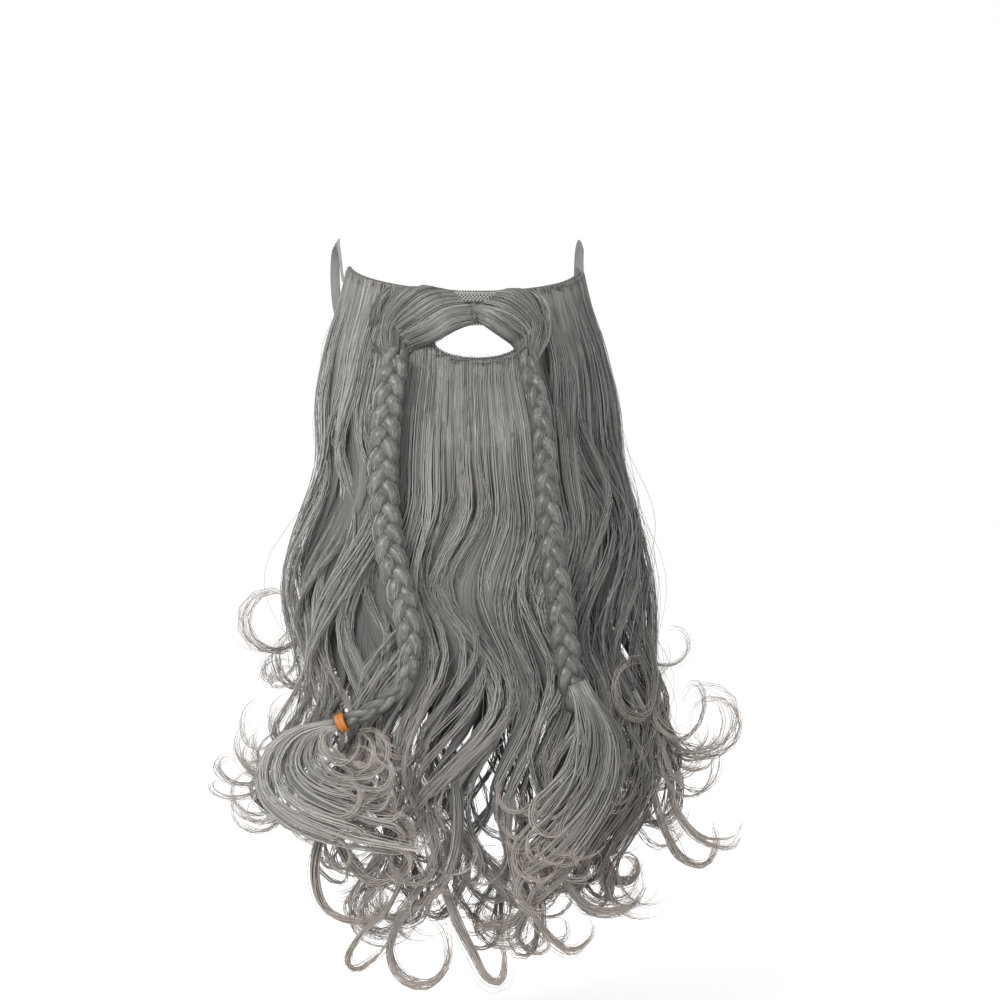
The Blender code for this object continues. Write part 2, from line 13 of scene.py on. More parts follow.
import bpy
import numpy as np
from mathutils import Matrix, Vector


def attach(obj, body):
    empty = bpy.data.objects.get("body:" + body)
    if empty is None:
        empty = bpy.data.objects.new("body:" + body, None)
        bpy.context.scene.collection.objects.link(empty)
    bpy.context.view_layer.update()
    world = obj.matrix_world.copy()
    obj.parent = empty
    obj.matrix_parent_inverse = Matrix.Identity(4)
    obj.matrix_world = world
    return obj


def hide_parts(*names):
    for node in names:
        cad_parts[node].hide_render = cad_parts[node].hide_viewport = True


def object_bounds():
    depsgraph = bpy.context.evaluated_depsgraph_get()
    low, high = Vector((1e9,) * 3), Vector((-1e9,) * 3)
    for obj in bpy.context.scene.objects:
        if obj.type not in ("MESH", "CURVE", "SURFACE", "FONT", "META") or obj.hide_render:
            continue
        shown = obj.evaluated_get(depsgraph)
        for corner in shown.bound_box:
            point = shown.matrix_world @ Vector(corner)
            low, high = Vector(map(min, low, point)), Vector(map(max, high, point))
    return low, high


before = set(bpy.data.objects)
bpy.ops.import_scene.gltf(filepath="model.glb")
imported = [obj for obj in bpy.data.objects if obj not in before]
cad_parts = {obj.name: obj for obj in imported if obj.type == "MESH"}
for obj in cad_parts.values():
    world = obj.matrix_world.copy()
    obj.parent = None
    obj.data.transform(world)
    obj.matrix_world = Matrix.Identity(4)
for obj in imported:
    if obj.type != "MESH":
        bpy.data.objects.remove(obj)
cad_low, cad_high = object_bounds()

SEED = 11
FORWARD = np.array((0.0, -1.0, 0.0))
UV_NAME = "OFBake"

# The camera stands where the photograph's did: a little to the wearer's right, level.
MM_PER_PIXEL = 0.6
ORIGIN_PIXEL = (478, 343)
IMAGE_PIXELS = 1000
CAMERA_AZIMUTH = math.radians(-6)
CAMERA_ELEVATION = math.radians(1)
CAMERA_DISTANCE = 2.4
SENSOR_WIDTH = 36.0
FLOOR_BELOW = 0.03
FLOOR_HALF = 12.0

# The face that carries the beard, as in the CAD source: rows from the top edge to under the chin.
EAR_Y = 0.092
FaceRow = namedtuple("FaceRow", "front_z ear_z front_y half_width")
FACE_ROWS = (
    FaceRow(0.030, 0.048, 0.005, 0.0700),
    FaceRow(0.020, 0.039, 0.002, 0.0715),
    FaceRow(0.010, 0.030, 0.000, 0.0720),
    FaceRow(0.000, 0.022, 0.000, 0.0720),
    FaceRow(-0.010, 0.015, 0.003, 0.0710),
    FaceRow(-0.022, 0.008, 0.005, 0.0700),
    FaceRow(-0.036, 0.001, 0.004, 0.0680),
    FaceRow(-0.048, -0.005, 0.010, 0.0660),
    FaceRow(-0.055, -0.011, 0.024, 0.0630),
)
BASE_WALL = 0.002
GAP = 0.0003
MOUTH_HALF_WIDTH = 0.026
MOUTH_HALF_HEIGHT = 0.0105
MOUTH_MIDDLE_Z = 0.001

# Where hair hangs, as in the CAD source: the front half of an oval at each height.
HangRow = namedtuple("HangRow", "z half_width front_y depth")
FRONT_HANG = (
    HangRow(0.045, 0.079, -0.005, 0.097),
    HangRow(-0.010, 0.086, -0.009, 0.095),
    HangRow(-0.050, 0.093, -0.020, 0.092),
    HangRow(-0.120, 0.101, -0.028, 0.082),
    HangRow(-0.200, 0.113, -0.032, 0.070),
    HangRow(-0.270, 0.124, -0.033, 0.060),
    HangRow(-0.330, 0.116, -0.031, 0.054),
    HangRow(-0.390, 0.100, -0.028, 0.048),
)
UNDER_HANG = (
    HangRow(-0.040, 0.066, 0.014, 0.078),
    HangRow(-0.085, 0.074, 0.001, 0.074),
    HangRow(-0.120, 0.080, -0.005, 0.068),
    HangRow(-0.200, 0.091, -0.010, 0.058),
    HangRow(-0.270, 0.100, -0.011, 0.050),
    HangRow(-0.330, 0.092, -0.009, 0.046),
    HangRow(-0.390, 0.078, -0.007, 0.042),
)
ROW_SMOOTHING = np.linspace(-0.020, 0.020, 9)
# How far below its root the hair has left the face, and has reached its own layer. Roots stand off
# the face by ROOT_OUT, and those at an edge start EDGE_ROOTS of the way down nearer to it.
ROOT_BLEND = 0.045
LAYER_BLEND = 0.090
ROOT_OUT = 0.0034
EDGE_ROOTS = 0.03
WAVE_LENGTH = 0.120
TIP_RISE_POWER = 1.5

# Each fall of hair. across and down say where it is sewn on the face, hung where it hangs.
# Its thin wisps gather into locks on their way down, wave below calm_z, and curl from middle_z on
# in the middle and from side_z on at the sides. inner is the share of wisps that lie deeper, and
# core how far off the hanging shape its core lies.
Fall = namedtuple(
    "Fall",
    "name node hang across down hung locks wisps strands points inner core middle_z side_z calm_z"
    " wave curl tone",
)
FALLS = (
    Fall(
        name="chin_hair", node="chin_fall", hang=FRONT_HANG, across=(-0.47, 0.47),
        down=(0.50, 0.62), hung=(-0.44, 0.44), locks=9,
        wisps=108, strands=10, points=30, inner=0.20, core=-0.0068,
        middle_z=-0.356, side_z=-0.280, calm_z=-0.070, wave=0.0100, curl=0.016, tone=0.60,
    ),
    Fall(
        name="cheek_hair_right", node="cheek_fall_right", hang=FRONT_HANG, across=(-0.93, -0.40),
        down=(0.00, 0.16), hung=(-0.96, -0.42), locks=6,
        wisps=84, strands=8, points=30, inner=0.25, core=-0.0068,
        middle_z=-0.345, side_z=-0.240, calm_z=-0.010, wave=0.0110, curl=0.017, tone=0.66,
    ),
    # The left cheek's lower tone is painted shade on the side away from the key light.
    Fall(
        name="cheek_hair_left", node="cheek_fall_left", hang=FRONT_HANG, across=(0.34, 0.93),
        down=(0.00, 0.16), hung=(0.36, 0.96), locks=6,
        wisps=90, strands=8, points=30, inner=0.25, core=-0.0068,
        middle_z=-0.345, side_z=-0.240, calm_z=-0.010, wave=0.0110, curl=0.017, tone=0.34,
    ),
    # The under hair's lower tone is painted shade under the front falls.
    Fall(
        name="under_hair", node="under_fall", hang=UNDER_HANG, across=(-0.84, 0.84),
        down=(0.90, 0.96), hung=(-0.90, 0.90), locks=11,
        wisps=90, strands=7, points=25, inner=0.60, core=-0.0030,
        middle_z=-0.345, side_z=-0.265, calm_z=-0.050, wave=0.0090, curl=0.016, tone=0.42,
    ),
)
TRESS_WISPS = 3
FALL_STEPS = 30
CURL_STEPS = 14
CURL_SHRINK = 0.35
CURL_CLIMB = 0.004
INNER_DEPTH = 0.010
HANG_RADIUS = 0.100
# A wisp's half width in shares of its room at the top, in metres lower down, and its half depth.
WISP_ROOMS = (1.3, 2.6)
WISP_LOWER = (0.0009, 0.0024)
WISP_DEPTH = 0.0014
CORE_SIDES = 22
CORE_RISE = 0.070
CORE_DEPTHS = (0.0012, 0.0020)
STRAND_POINTS = 30
FIBRE_WIDTH = 0.00033
FIBRE_DEPTH = 0.00017
STRAY_REACH = (0.002, 0.009)
TONE_RANGE = (0.02, 0.96)

# The braids: routes and half widths from the CAD source.
BRAID_PITCH = 0.039
Braid = namedtuple("Braid", "name node route half_widths")
BRAIDS = (
    Braid(
        name="braid_strands_right", node="braid_right",
        route=(
            (-0.0485, -0.006, -0.004), (-0.0535, -0.015, -0.021), (-0.0575, -0.023, -0.049),
            (-0.0595, -0.028, -0.080), (-0.0580, -0.032, -0.106), (-0.0545, -0.037, -0.130),
            (-0.0485, -0.042, -0.152), (-0.0445, -0.045, -0.176), (-0.0460, -0.046, -0.193),
            (-0.0525, -0.044, -0.206), (-0.0670, -0.039, -0.217), (-0.0810, -0.034, -0.2235),
        ),
        half_widths=(0.0085, 0.0097, 0.0098, 0.0098, 0.0098, 0.0096, 0.0092, 0.0066, 0.0052, 0.0050),
    ),
    Braid(
        name="braid_strands_left", node="braid_left",
        route=(
            (0.0280, -0.012, -0.004), (0.0290, -0.019, -0.016), (0.0345, -0.029, -0.043),
            (0.0365, -0.035, -0.074), (0.0380, -0.040, -0.106), (0.0420, -0.044, -0.141),
            (0.0465, -0.046, -0.176), (0.0500, -0.046, -0.199), (0.0560, -0.045, -0.215),
        ),
        half_widths=(0.0064, 0.0065, 0.0070, 0.0078, 0.0082, 0.0085, 0.0087, 0.0085),
    ),
)
BRAID_SWING = 0.50
BRAID_LIFT = 0.30
BRAID_THIRD = 0.50
BRAID_STEPS = 84
BRAID_SHELL_SIDES = 18
BRAID_FIBRES = 30

# The moustache in millimetres across and up: each lock's root, the places that it passes over,
# and how far it stands off the face there. The last ones hang apart from the rest.
Sweep = namedtuple("Sweep", "root over bend fall out")
SWEEPS = {
    "right": (
        Sweep((2, 13.5), (-13, 9.5), (-24, 2.5), (-38, -3.5), 6),
        Sweep((0, 19.5), (-14, 16.5), (-27, 8), (-39, 2), 7),
        Sweep((-7, 26), (-20, 22.5), (-32, 14), (-42, 5), 9),
        Sweep((-12, 29.5), (-23, 28), (-34, 20.5), (-42, 9), 10),
        Sweep((-21, 31.5), (-30, 31), (-38.5, 22.5), (-45, 10), 9),
        Sweep((-31, 32.5), (-39.5, 30), (-46, 20), (-49, 8), 7),
        Sweep((-46, 34), (-50.5, 27), (-53, 15), (-52, 4), 7),
    ),
    "left": (
        Sweep((-2, 14.5), (6, 10), (14, 4.5), (21, -0.5), 5),
        Sweep((-6, 21), (5, 16.5), (16.5, 8), (24, 1.5), 7),
        Sweep((-1, 23), (9, 18.5), (19, 12.5), (26, 4.5), 9),
        Sweep((7, 28), (15, 24), (23, 16.5), (28, 7.5), 10),
        Sweep((11, 31), (19, 28.5), (26, 20.5), (30, 10), 9),
        Sweep((18, 32.5), (24, 30), (30, 22.5), (32.5, 12), 7),
        Sweep((31, 32), (34, 26), (36, 15), (35, 4.5), 7),
    ),
}
SWEEP_BUNDLES = 16
OUTER_BUNDLES = 4
LIP_BUNDLES = 7
RIM_FUZZ = 90
FLYAWAYS = 40

# The loose hair below each braid, along the CAD source's routes. nested arcs lie inside each other.
Tail = namedtuple("Tail", "name node half_width nested route")
TAILS = (
    Tail(
        name="tail_hair_right", node="braid_tail_right", half_width=0.0055, nested=True,
        route=(
            (-0.0870, -0.032, -0.2255), (-0.1080, -0.029, -0.2340), (-0.1160, -0.030, -0.2560),
            (-0.1060, -0.036, -0.2710), (-0.0890, -0.044, -0.2800), (-0.0680, -0.052, -0.2860),
            (-0.0500, -0.057, -0.2880),
        ),
    ),
    Tail(
        name="tail_hair_left", node="braid_tail_left", half_width=0.0110, nested=False,
        route=(
            (0.0535, -0.054, -0.2010), (0.0590, -0.056, -0.2150), (0.0645, -0.054, -0.2330),
            (0.0620, -0.054, -0.2560), (0.0500, -0.056, -0.2760), (0.0330, -0.058, -0.2950),
            (0.0150, -0.057, -0.3090),
        ),
    ),
)
TAIL_SWAY = 0.0025
TAIL_BUNDLES = 30
TAIL_STRANDS = 10

# Bundles that stand out in front at the bottom, in millimetres across and up.
Ringlet = namedtuple("Ringlet", "width spots")
RINGLETS = (
    Ringlet(3.2, (
        (-66, -225), (-74, -256), (-82, -278), (-80, -300), (-66, -317), (-50, -315), (-41, -300),
        (-47, -284), (-60, -281)
    )),
    Ringlet(2.8, (
        (-20, -240), (-15, -275), (-18, -304), (-28, -325), (-45, -338), (-53, -358), (-47, -375),
        (-32, -380), (-21, -368), (-22, -348), (-32, -337)
    )),
    Ringlet(1.6, (
        (-50, -270), (-45, -308), (-55, -336), (-68, -350), (-76, -366), (-70, -372), (-58, -362),
        (-48, -345)
    )),
    Ringlet(2.6, (
        (-32, -280), (-24, -318), (-15, -343), (-6, -361), (2, -377), (10, -378), (12, -362),
        (6, -349)
    )),
    Ringlet(2.2, (
        (-80, -240), (-90, -284), (-94, -310), (-91, -331), (-79, -341), (-64, -340), (-56, -329),
        (-60, -316)
    )),
    Ringlet(1.5, (
        (84, -215), (98, -262), (103, -286), (114, -309), (129, -314), (138, -301), (133, -284)
    )),
    Ringlet(2.4, (
        (94, -210), (107, -250), (111, -277), (126, -299), (145, -302), (153, -290)
    )),
    Ringlet(2.6, (
        (36, -240), (40, -290), (44, -316), (58, -335), (78, -340), (92, -330), (90, -314)
    )),
    Ringlet(2.0, (
        (18, -260), (14, -300), (22, -330), (36, -352), (50, -362), (62, -352), (58, -338)
    )),
)
RINGLET_OUT = 0.010
RINGLET_BUNDLES = 3
RINGLET_STRANDS = 10

# The rubber band: turns of a thin ring wound round the end of the right braid.
BAND_TURNS = 4.4
BAND_RADIUS = 0.0050
BAND_CORD_RADIUS = 0.0008
BAND_LENGTH = 0.006

# The crochet strip under the nose, the knitted base and its bound edges.
EDGING_ACROSS = 0.125
EDGING_DOWN = (0.012, 0.075)
EDGING_STITCHES = 13
EDGING_ROWS = 3
EDGING_YARN_RADIUS = 0.00042
EDGING_ROPE_RADIUS = 0.00065
EDGING_STRIP = (0.0028, 0.0004)
FAR_FROM_MOUTH = 9.0
KNIT_RIBS = 48
KNIT_COLUMNS = 240
KNIT_ROWS = 34
RIB_DEPTH = 0.0005
HEM_RADIUS = 0.0010
HEM_YARN_RADIUS = 0.0005
HEM_YARN_SIDES = 4
HEM_PITCH = 0.0016
HEM_TURN_STEPS = 6

# The ear elastics, along the CAD source's route.
ELASTIC_WIDTH = 0.006
ELASTIC_THICKNESS = 0.0014
EAR_LOOP_ENDS = ((0.955, 0.110), (0.955, 0.790))
EAR_LOOP_ROUTE = (
    (0.0752, 0.0960, 0.0440), (0.0760, 0.1060, 0.0570), (0.0768, 0.1180, 0.0650),
    (0.0772, 0.1290, 0.0580), (0.0772, 0.1330, 0.0420), (0.0760, 0.1300, 0.0240),
    (0.0740, 0.1210, 0.0090), (0.0718, 0.1090, 0.0010), (0.0705, 0.0980, -0.0020),
)
ELASTIC_STEPS = 240
ELASTIC_SIDES = 16


def unit(vectors):
    return vectors / np.maximum(np.linalg.norm(vectors, axis=-1, keepdims=True), 1e-12)


def smooth_step(share):
    share = np.clip(share, 0.0, 1.0)
    return share * share * (3 - 2 * share)


def face_spot(across, down):
    """Points on the face. across runs from -1 at the right ear to 1 at the left."""
    place = np.clip(down, 0, 1) * (len(FACE_ROWS) - 1)
    front_z, ear_z, front_y, half_width = (
        np.interp(place, range(len(FACE_ROWS)), column) for column in zip(*FACE_ROWS)
    )
    turn = across * math.pi / 2
    back = 1 - np.cos(turn)
    return np.stack([
        half_width * np.sin(turn),
        front_y + (EAR_Y - front_y) * back,
        front_z + (ear_z - front_z) * back,
    ], axis=-1)


def face_outward(across, down):
    step = 0.01
    sideways = face_spot(across + step, down) - face_spot(across - step, down)
    lower, upper = np.minimum(down + step, 1), np.maximum(down - step, 0)
    downward = face_spot(across, lower) - face_spot(across, upper)
    return unit(np.cross(downward, sideways))


def face_point(across, down, out):
    """Points that stand off the face by out."""
    out = np.asarray(out, float)
    return face_spot(across, down) + face_outward(across, down) * out[..., None]


def face_place(x, z):
    """Where on the front of the face x and z are, as across and down."""
    heights, spots = [], []
    for index in range(len(FACE_ROWS)):
        row = FACE_ROWS[index]
        across = math.asin(max(-0.999, min(0.999, x / row.half_width))) * 2 / math.pi
        spots.append((across, index / (len(FACE_ROWS) - 1)))
        heights.append(face_spot(*spots[-1])[2])
    return tuple(np.interp(z, heights[::-1], column[::-1]) for column in zip(*spots))


def face_at(x, z, out):
    """The point at x and z on the front of the face, moved off it by out."""
    return face_point(*face_place(x, z), out)


def hang_place(rows, turn, z):
    """Places on the ovals at heights z, the outward direction there and the direction along."""
    heights, *columns = zip(*reversed(rows))
    half_width, front_y, depth = (
        np.mean([np.interp(z + shift, heights, column) for shift in ROW_SMOOTHING], axis=0)
        for column in columns
    )
    flat = np.zeros_like(z)
    point = np.stack([half_width * np.sin(turn), front_y + depth * (1 - np.cos(turn)), z], axis=-1)
    outward = unit(np.stack([np.sin(turn) * depth, -np.cos(turn) * half_width, flat], axis=-1))
    along = np.stack([-outward[..., 1], outward[..., 0], flat], axis=-1)
    return point, outward, along


def lengths_along(points):
    return np.concatenate([[0], np.cumsum(np.linalg.norm(np.diff(points, axis=0), axis=1))])


def picked(goals, lengths, points):
    """The values in points, which lie at the lengths, at the goals between them."""
    return np.stack([np.interp(goals, lengths, points[:, k]) for k in range(3)], axis=-1)


def smooth_route(points, count):
    """count points at even distances along a smooth curve through the given ones."""
    points = np.array(points, float)
    ends = np.concatenate([[points[0] * 2 - points[1]], points, [points[-1] * 2 - points[-2]]])
    spots = np.linspace(0, len(points) - 1, 60 * len(points))
    index = np.minimum(spots.astype(int), len(points) - 2)
    t = (spots - index)[:, None]
    a, b, c, d = (ends[index + k] for k in range(4))
    fine = (b * 2 + (c - a) * t + (a * 2 - b * 5 + c * 4 - d) * t ** 2
            + (b * 3 - a - c * 3 + d) * t ** 3) / 2
    lengths = lengths_along(fine)
    return picked(np.linspace(0, lengths[-1], count), lengths, fine)


def frames_along(paths, outwards):
    """Directions across and outwards at each point of each path, carried along it without twist.

    outwards has a direction for each path, or one for each of its points."""
    ahead = unit(np.gradient(paths, axis=1))
    given = np.asarray(outwards, float)
    deeps = np.empty_like(paths)
    deep = given[:, 0] if given.ndim == 3 else np.broadcast_to(given, ahead[:, 0].shape)
    for step in range(paths.shape[1]):
        if given.ndim == 3:
            deep = given[:, step]
        deep = unit(deep - ahead[:, step] * (deep * ahead[:, step]).sum(1, keepdims=True))
        deeps[:, step] = deep
    return np.cross(ahead, deeps), deeps


def spread(paths, *values):
    """Each of the values with a number for each point of each path."""
    return [np.broadcast_to(value, paths.shape[:2]) for value in values]


def tube_arrays(paths, outwards, half_widths, half_depths, tones, lengthwise, sides, ridges=1.0):
    """Vertices, faces' corners, faces' sizes and UVs of closed oval tubes along the paths.

    tones, which become u, are one for each path or one for each side. lengthwise becomes v."""
    count, steps = paths.shape[:2]
    half_widths, half_depths, lengthwise = spread(paths, half_widths, half_depths, lengthwise)
    wides, deeps = frames_along(paths, outwards)
    turn = math.pi / 2 + np.arange(sides) * math.tau / sides
    shape = np.broadcast_to(ridges, (count, 1, sides))
    rim = (wides[:, :, None] * (np.cos(turn) * shape * half_widths[..., None])[..., None]
           + deeps[:, :, None] * (np.sin(turn) * shape * half_depths[..., None])[..., None])
    verts = paths[:, :, None] + rim
    index = np.arange(count * steps * sides).reshape(count, steps, sides)
    after = np.roll(index, -1, axis=2)
    quads = np.stack([index[:, :-1], index[:, 1:], after[:, 1:], after[:, :-1]], axis=-1)
    if tones.ndim == 1:
        tones = tones[:, None] + 0.012 * np.arange(sides + 1) / sides
    u = np.broadcast_to(tones[:, None], (count, steps, sides + 1))
    v = np.broadcast_to(lengthwise[..., None], u.shape)
    uv = np.stack([u, v], axis=-1)
    quad_uv = np.stack([uv[:, :-1, :-1], uv[:, 1:, :-1], uv[:, 1:, 1:], uv[:, :-1, 1:]], axis=3)
    caps = np.concatenate([index[:, 0], index[:, -1, ::-1]])
    cap_uv = np.concatenate([uv[:, 0, :-1], uv[:, -1, :-1][:, ::-1]])
    cap_uv = cap_uv + np.stack([np.zeros(sides), 0.004 * np.sin(turn)], axis=-1)
    corners = np.concatenate([quads.reshape(-1), caps.reshape(-1)])
    sizes = np.concatenate([np.full(quads.size // 4, 4), np.full(len(caps), sides)])
    uvs = np.concatenate([quad_uv.reshape(-1, 2), cap_uv.reshape(-1, 2)])
    return verts.reshape(-1, 3), corners, sizes, uvs


def cord_arrays(path, outward, radius, tones, sides, lengthwise=None):
    """One round tube. tones are those of its first and last side."""
    if lengthwise is None:
        lengthwise = np.linspace(0, 1, len(path))
    tones = np.linspace(*tones, sides + 1)[None]
    return tube_arrays(path[None], outward[None], radius, radius, tones, lengthwise, sides)


def join_arrays(name, parts, material, nodes=()):
    """One smooth-shaded piece from several sets of vertices, corners, sizes and UVs."""
    offset = 0
    corners = []
    for verts, part_corners, _, _ in parts:
        corners.append(part_corners + offset)
        offset += len(verts)
    verts = np.concatenate([part[0] for part in parts])
    corners = np.concatenate(corners)
    sizes = np.concatenate([part[2] for part in parts])
    uvs = np.concatenate([part[3] for part in parts])
    data = bpy.data.meshes.new(name)
    data.vertices.add(len(verts))
    data.vertices.foreach_set("co", verts.astype(np.float32).ravel())
    data.loops.add(len(corners))
    data.loops.foreach_set("vertex_index", corners.astype(np.int32))
    data.polygons.add(len(sizes))
    data.polygons.foreach_set("loop_start", (np.cumsum(sizes) - sizes).astype(np.int32))
    layer = data.uv_layers.new(name=UV_NAME)
    layer.uv.foreach_set("vector", np.clip(uvs, 0.002, 0.998).astype(np.float32).ravel())
    data.update(calc_edges=True)
    data.shade_smooth()
    data.materials.append(material)
    piece = bpy.data.objects.new(name, data)
    bpy.context.scene.collection.objects.link(piece)
    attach(piece, "root")
    if nodes:
        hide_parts(*nodes)
    return piece


class Nodes:
    """A short way to write a material's nodes."""

    def __init__(self, name, roughness):
        self.material = bpy.data.materials.new(name)
        self.material.use_nodes = True
        self.tree = self.material.node_tree
        self.shader = self.tree.nodes["Principled BSDF"]
        self.shader.inputs["Roughness"].default_value = roughness

    def add(self, kind, inputs=(), **settings):
        node = self.tree.nodes.new("ShaderNode" + kind)
        for name, value in settings.items():
            setattr(node, name, value)
        for name, value in dict(inputs).items():
            if isinstance(value, bpy.types.NodeSocket):
                self.tree.links.new(value, node.inputs[name])
            else:
                node.inputs[name].default_value = value
        return node

    def math(self, operation, a, b=0.0):
        return self.add("Math", {0: a, 1: b}, operation=operation).outputs[0]

    def mix(self, factor, a, b):
        node = self.add("Mix", {"Factor": factor, "A": a, "B": b}, data_type="RGBA")
        return node.outputs["Result"]

    def ramp(self, factor, stops):
        node = self.add("ValToRGB", {"Fac": factor})
        elements = node.color_ramp.elements
        while len(elements) < len(stops):
            elements.new(0.5)
        for element, (place, color) in zip(elements, stops):
            element.position = place
            element.color = (*color, 1)
        return node.outputs["Color"]

    def streaks(self, across, along, detail):
        """Noise stretched along a strand, and the place on the UV map that it comes from."""
        place = self.add("SeparateXYZ", {0: self.add("UVMap", uv_map=UV_NAME).outputs[0]}).outputs
        scaled = self.add("CombineXYZ", {0: self.math("MULTIPLY", place["X"], across),
                                         1: self.math("MULTIPLY", place["Y"], along)}).outputs[0]
        noise = self.add("TexNoise", {"Vector": scaled, "Scale": 1.0, "Detail": detail})
        return noise.outputs[0], place

    def bump(self, height, strength, distance):
        bump = self.add("Bump", {"Height": height, "Strength": strength, "Distance": distance})
        self.shade("Normal", bump.outputs[0])

    def shade(self, name, value):
        self.tree.links.new(value, self.shader.inputs[name])


def grey(level, warmth=0.0):
    """A linear colour of that level, a little yellower and redder with warmth."""
    return (level * (1 + 0.10 * warmth), level * (1 + 0.01 * warmth), level * (1 - 0.12 * warmth))


def hair_material(name):
    """Silver-grey fibre: tone by the strand (u), warmer towards the curled ends (v)."""
    nodes = Nodes(name, 0.42)
    noise, place = nodes.streaks(90.0, 9.0, 2.0)
    tone = nodes.ramp(place["X"], [
        (0.0, grey(0.025, 0.7)), (0.30, grey(0.09, 0.5)),
        (0.60, grey(0.20, 0.4)), (1.0, grey(0.42, 0.5)),
    ])
    varied = nodes.mix(nodes.math("MULTIPLY", noise, 0.45), tone, (*grey(0.13, 0.6), 1))
    warm = nodes.add("MapRange", {0: place["Y"], 1: 0.58, 2: 0.92, 3: 0.0, 4: 0.8}).outputs[0]
    nodes.shade("Base Color", nodes.mix(warm, varied, (0.34, 0.285, 0.245, 1)))
    return nodes.material


def painted_shade_material(name):
    """Painted shade for the deeper hair between the front wisps: dark, with fine streaks along it,
    darker still towards the lower end.
    """
    nodes = Nodes(name, 0.6)
    noise, place = nodes.streaks(110.0, 3.0, 4.0)
    tone = nodes.ramp(noise, [(0.32, grey(0.05, 0.6)), (0.5, grey(0.12, 0.5)), (0.70, grey(0.22, 0.5))])
    # Painted shade: darker towards the lower end, where the wisps part and the gaps between them open.
    deeper = nodes.add("MapRange", {0: place["Y"], 1: 0.25, 2: 0.75, 3: 0.0, 4: 0.75}).outputs[0]
    nodes.shade("Base Color", nodes.mix(deeper, tone, (*grey(0.035, 0.6), 1)))
    nodes.bump(noise, 0.6, 0.0006)
    return nodes.material


def rubber_material():
    """Worn orange rubber."""
    nodes = Nodes("orange_rubber", 0.5)
    noise, _ = nodes.streaks(30.0, 60.0, 2.0)
    orange = nodes.ramp(noise, [(0.3, (0.27, 0.085, 0.012)), (0.7, (0.40, 0.14, 0.022))])
    nodes.shade("Base Color", orange)
    nodes.bump(noise, 0.3, 0.0002)
    return nodes.material


def yarn_material(name, dark, light, across=60.0, along=40.0):
    """Knitted, crocheted or woven yarn: tone by u, fine fibre noise all over."""
    nodes = Nodes(name, 0.85)
    noise, place = nodes.streaks(across, along, 4.0)
    tone = nodes.ramp(place["X"], [(0.0, dark), (1.0, light)])
    nodes.shade("Base Color", nodes.mix(nodes.math("MULTIPLY", noise, 0.55), tone, (*dark, 1)))
    nodes.bump(noise, 0.5, 0.0003)
    return nodes.material


def sampled(values, places):
    """values at places from 0 to 1 along axis 1. places is (path, strand, point)."""
    spots = np.clip(places, 0, 1) * (values.shape[1] - 1)
    index = np.minimum(spots.astype(int), values.shape[1] - 2)
    share = spots - index
    rows = np.arange(len(values))[:, None, None]
    if values.ndim == 3:
        share = share[..., None]
    return values[rows, index] * (1 - share) + values[rows, index + 1] * share


class Hair:
    """Collects shells and thin strands of bundles of hair.

    Bundles run along paths (bundle, point, 3) with half sizes (bundle, point) and tones (bundle)."""

    def __init__(self, rng):
        self.rng = rng
        self.parts = []

    def shells(self, paths, outwards, half_widths, half_depths, tones, lengthwise, sides, ridge=0.10):
        """Closed tubes that fill the bundles, with ridges along them and a tone for each side."""
        count = len(paths)
        ridges = 1 + ridge * self.rng.uniform(-1, 1, (count, 1, sides))
        varied = tones[:, None] + 0.12 * self.rng.uniform(-1, 1, (count, sides + 1))
        varied = np.clip(varied, *TONE_RANGE)
        self.parts.append(tube_arrays(
            paths, outwards, half_widths, half_depths, varied, lengthwise, sides, ridges,
        ))

    def strands(self, paths, outwards, half_widths, half_depths, tones, lengthwise, count, points,
                fill=0.0, stray=0.06, ends=(0.84, 1.0), width=FIBRE_WIDTH, tone_spread=0.08,
                wobble=0.0013, even=False):
        """count strands in each bundle, from fill to 1 of its half sizes away from its path.

        stray is the share that wanders off, ends where along the bundle they end, and even
        lays them side by side in pairs of one tone."""
        rng = self.rng
        bundles = len(paths)
        half_widths, half_depths, lengthwise = spread(paths, half_widths, half_depths, lengthwise)
        wides, deeps = frames_along(paths, outwards)
        angle = rng.uniform(0, math.tau, (bundles, count))
        if even:
            angle = (np.arange(count) + rng.uniform(0, 0.9, (bundles, count))) * math.tau / count
        away = np.sqrt(rng.uniform(fill * fill, 1.0, (bundles, count)))
        end = rng.uniform(*ends, (bundles, count, 1))
        places = np.linspace(0, 1, points) * end
        a = (np.cos(angle) * away)[..., None] * sampled(half_widths, places)
        b = (np.sin(angle) * away)[..., None] * sampled(half_depths, places)
        is_stray = rng.random((bundles, count, 1)) < stray
        reach = np.where(is_stray, rng.uniform(*STRAY_REACH, is_stray.shape), wobble)
        phases = rng.uniform(0, math.tau, (2, bundles, count, 1))
        rates = rng.uniform(4, 13, (2, bundles, count, 1))
        a = a + reach * places * np.sin(rates[0] * places + phases[0])
        b = b + reach * 0.6 * places * np.sin(rates[1] * places + phases[1])
        lines = (sampled(paths, places) + sampled(wides, places) * a[..., None]
                 + sampled(deeps, places) * b[..., None])
        thin = 1 - 0.7 * smooth_step((np.linspace(0, 1, points) - 0.75) / 0.25)
        size = rng.uniform(0.7, 1.3, (bundles, count, 1)) * thin
        size = np.where(is_stray, size * 0.6, size).reshape(-1, points)
        own = rng.normal(0, tone_spread, (bundles, count))
        if even:
            own = np.repeat(own[:, ::2], 2, axis=1)
        own = np.clip(tones[:, None] + own, *TONE_RANGE)
        self.parts.append(tube_arrays(
            lines.reshape(-1, points, 3), sampled(deeps, places).reshape(-1, points, 3),
            size * width, size * width * FIBRE_DEPTH / FIBRE_WIDTH, own.reshape(-1),
            sampled(lengthwise, places).reshape(-1, points), 3,
        ))

    def make(self, name, material, *nodes):
        return join_arrays(name, self.parts, material, nodes)


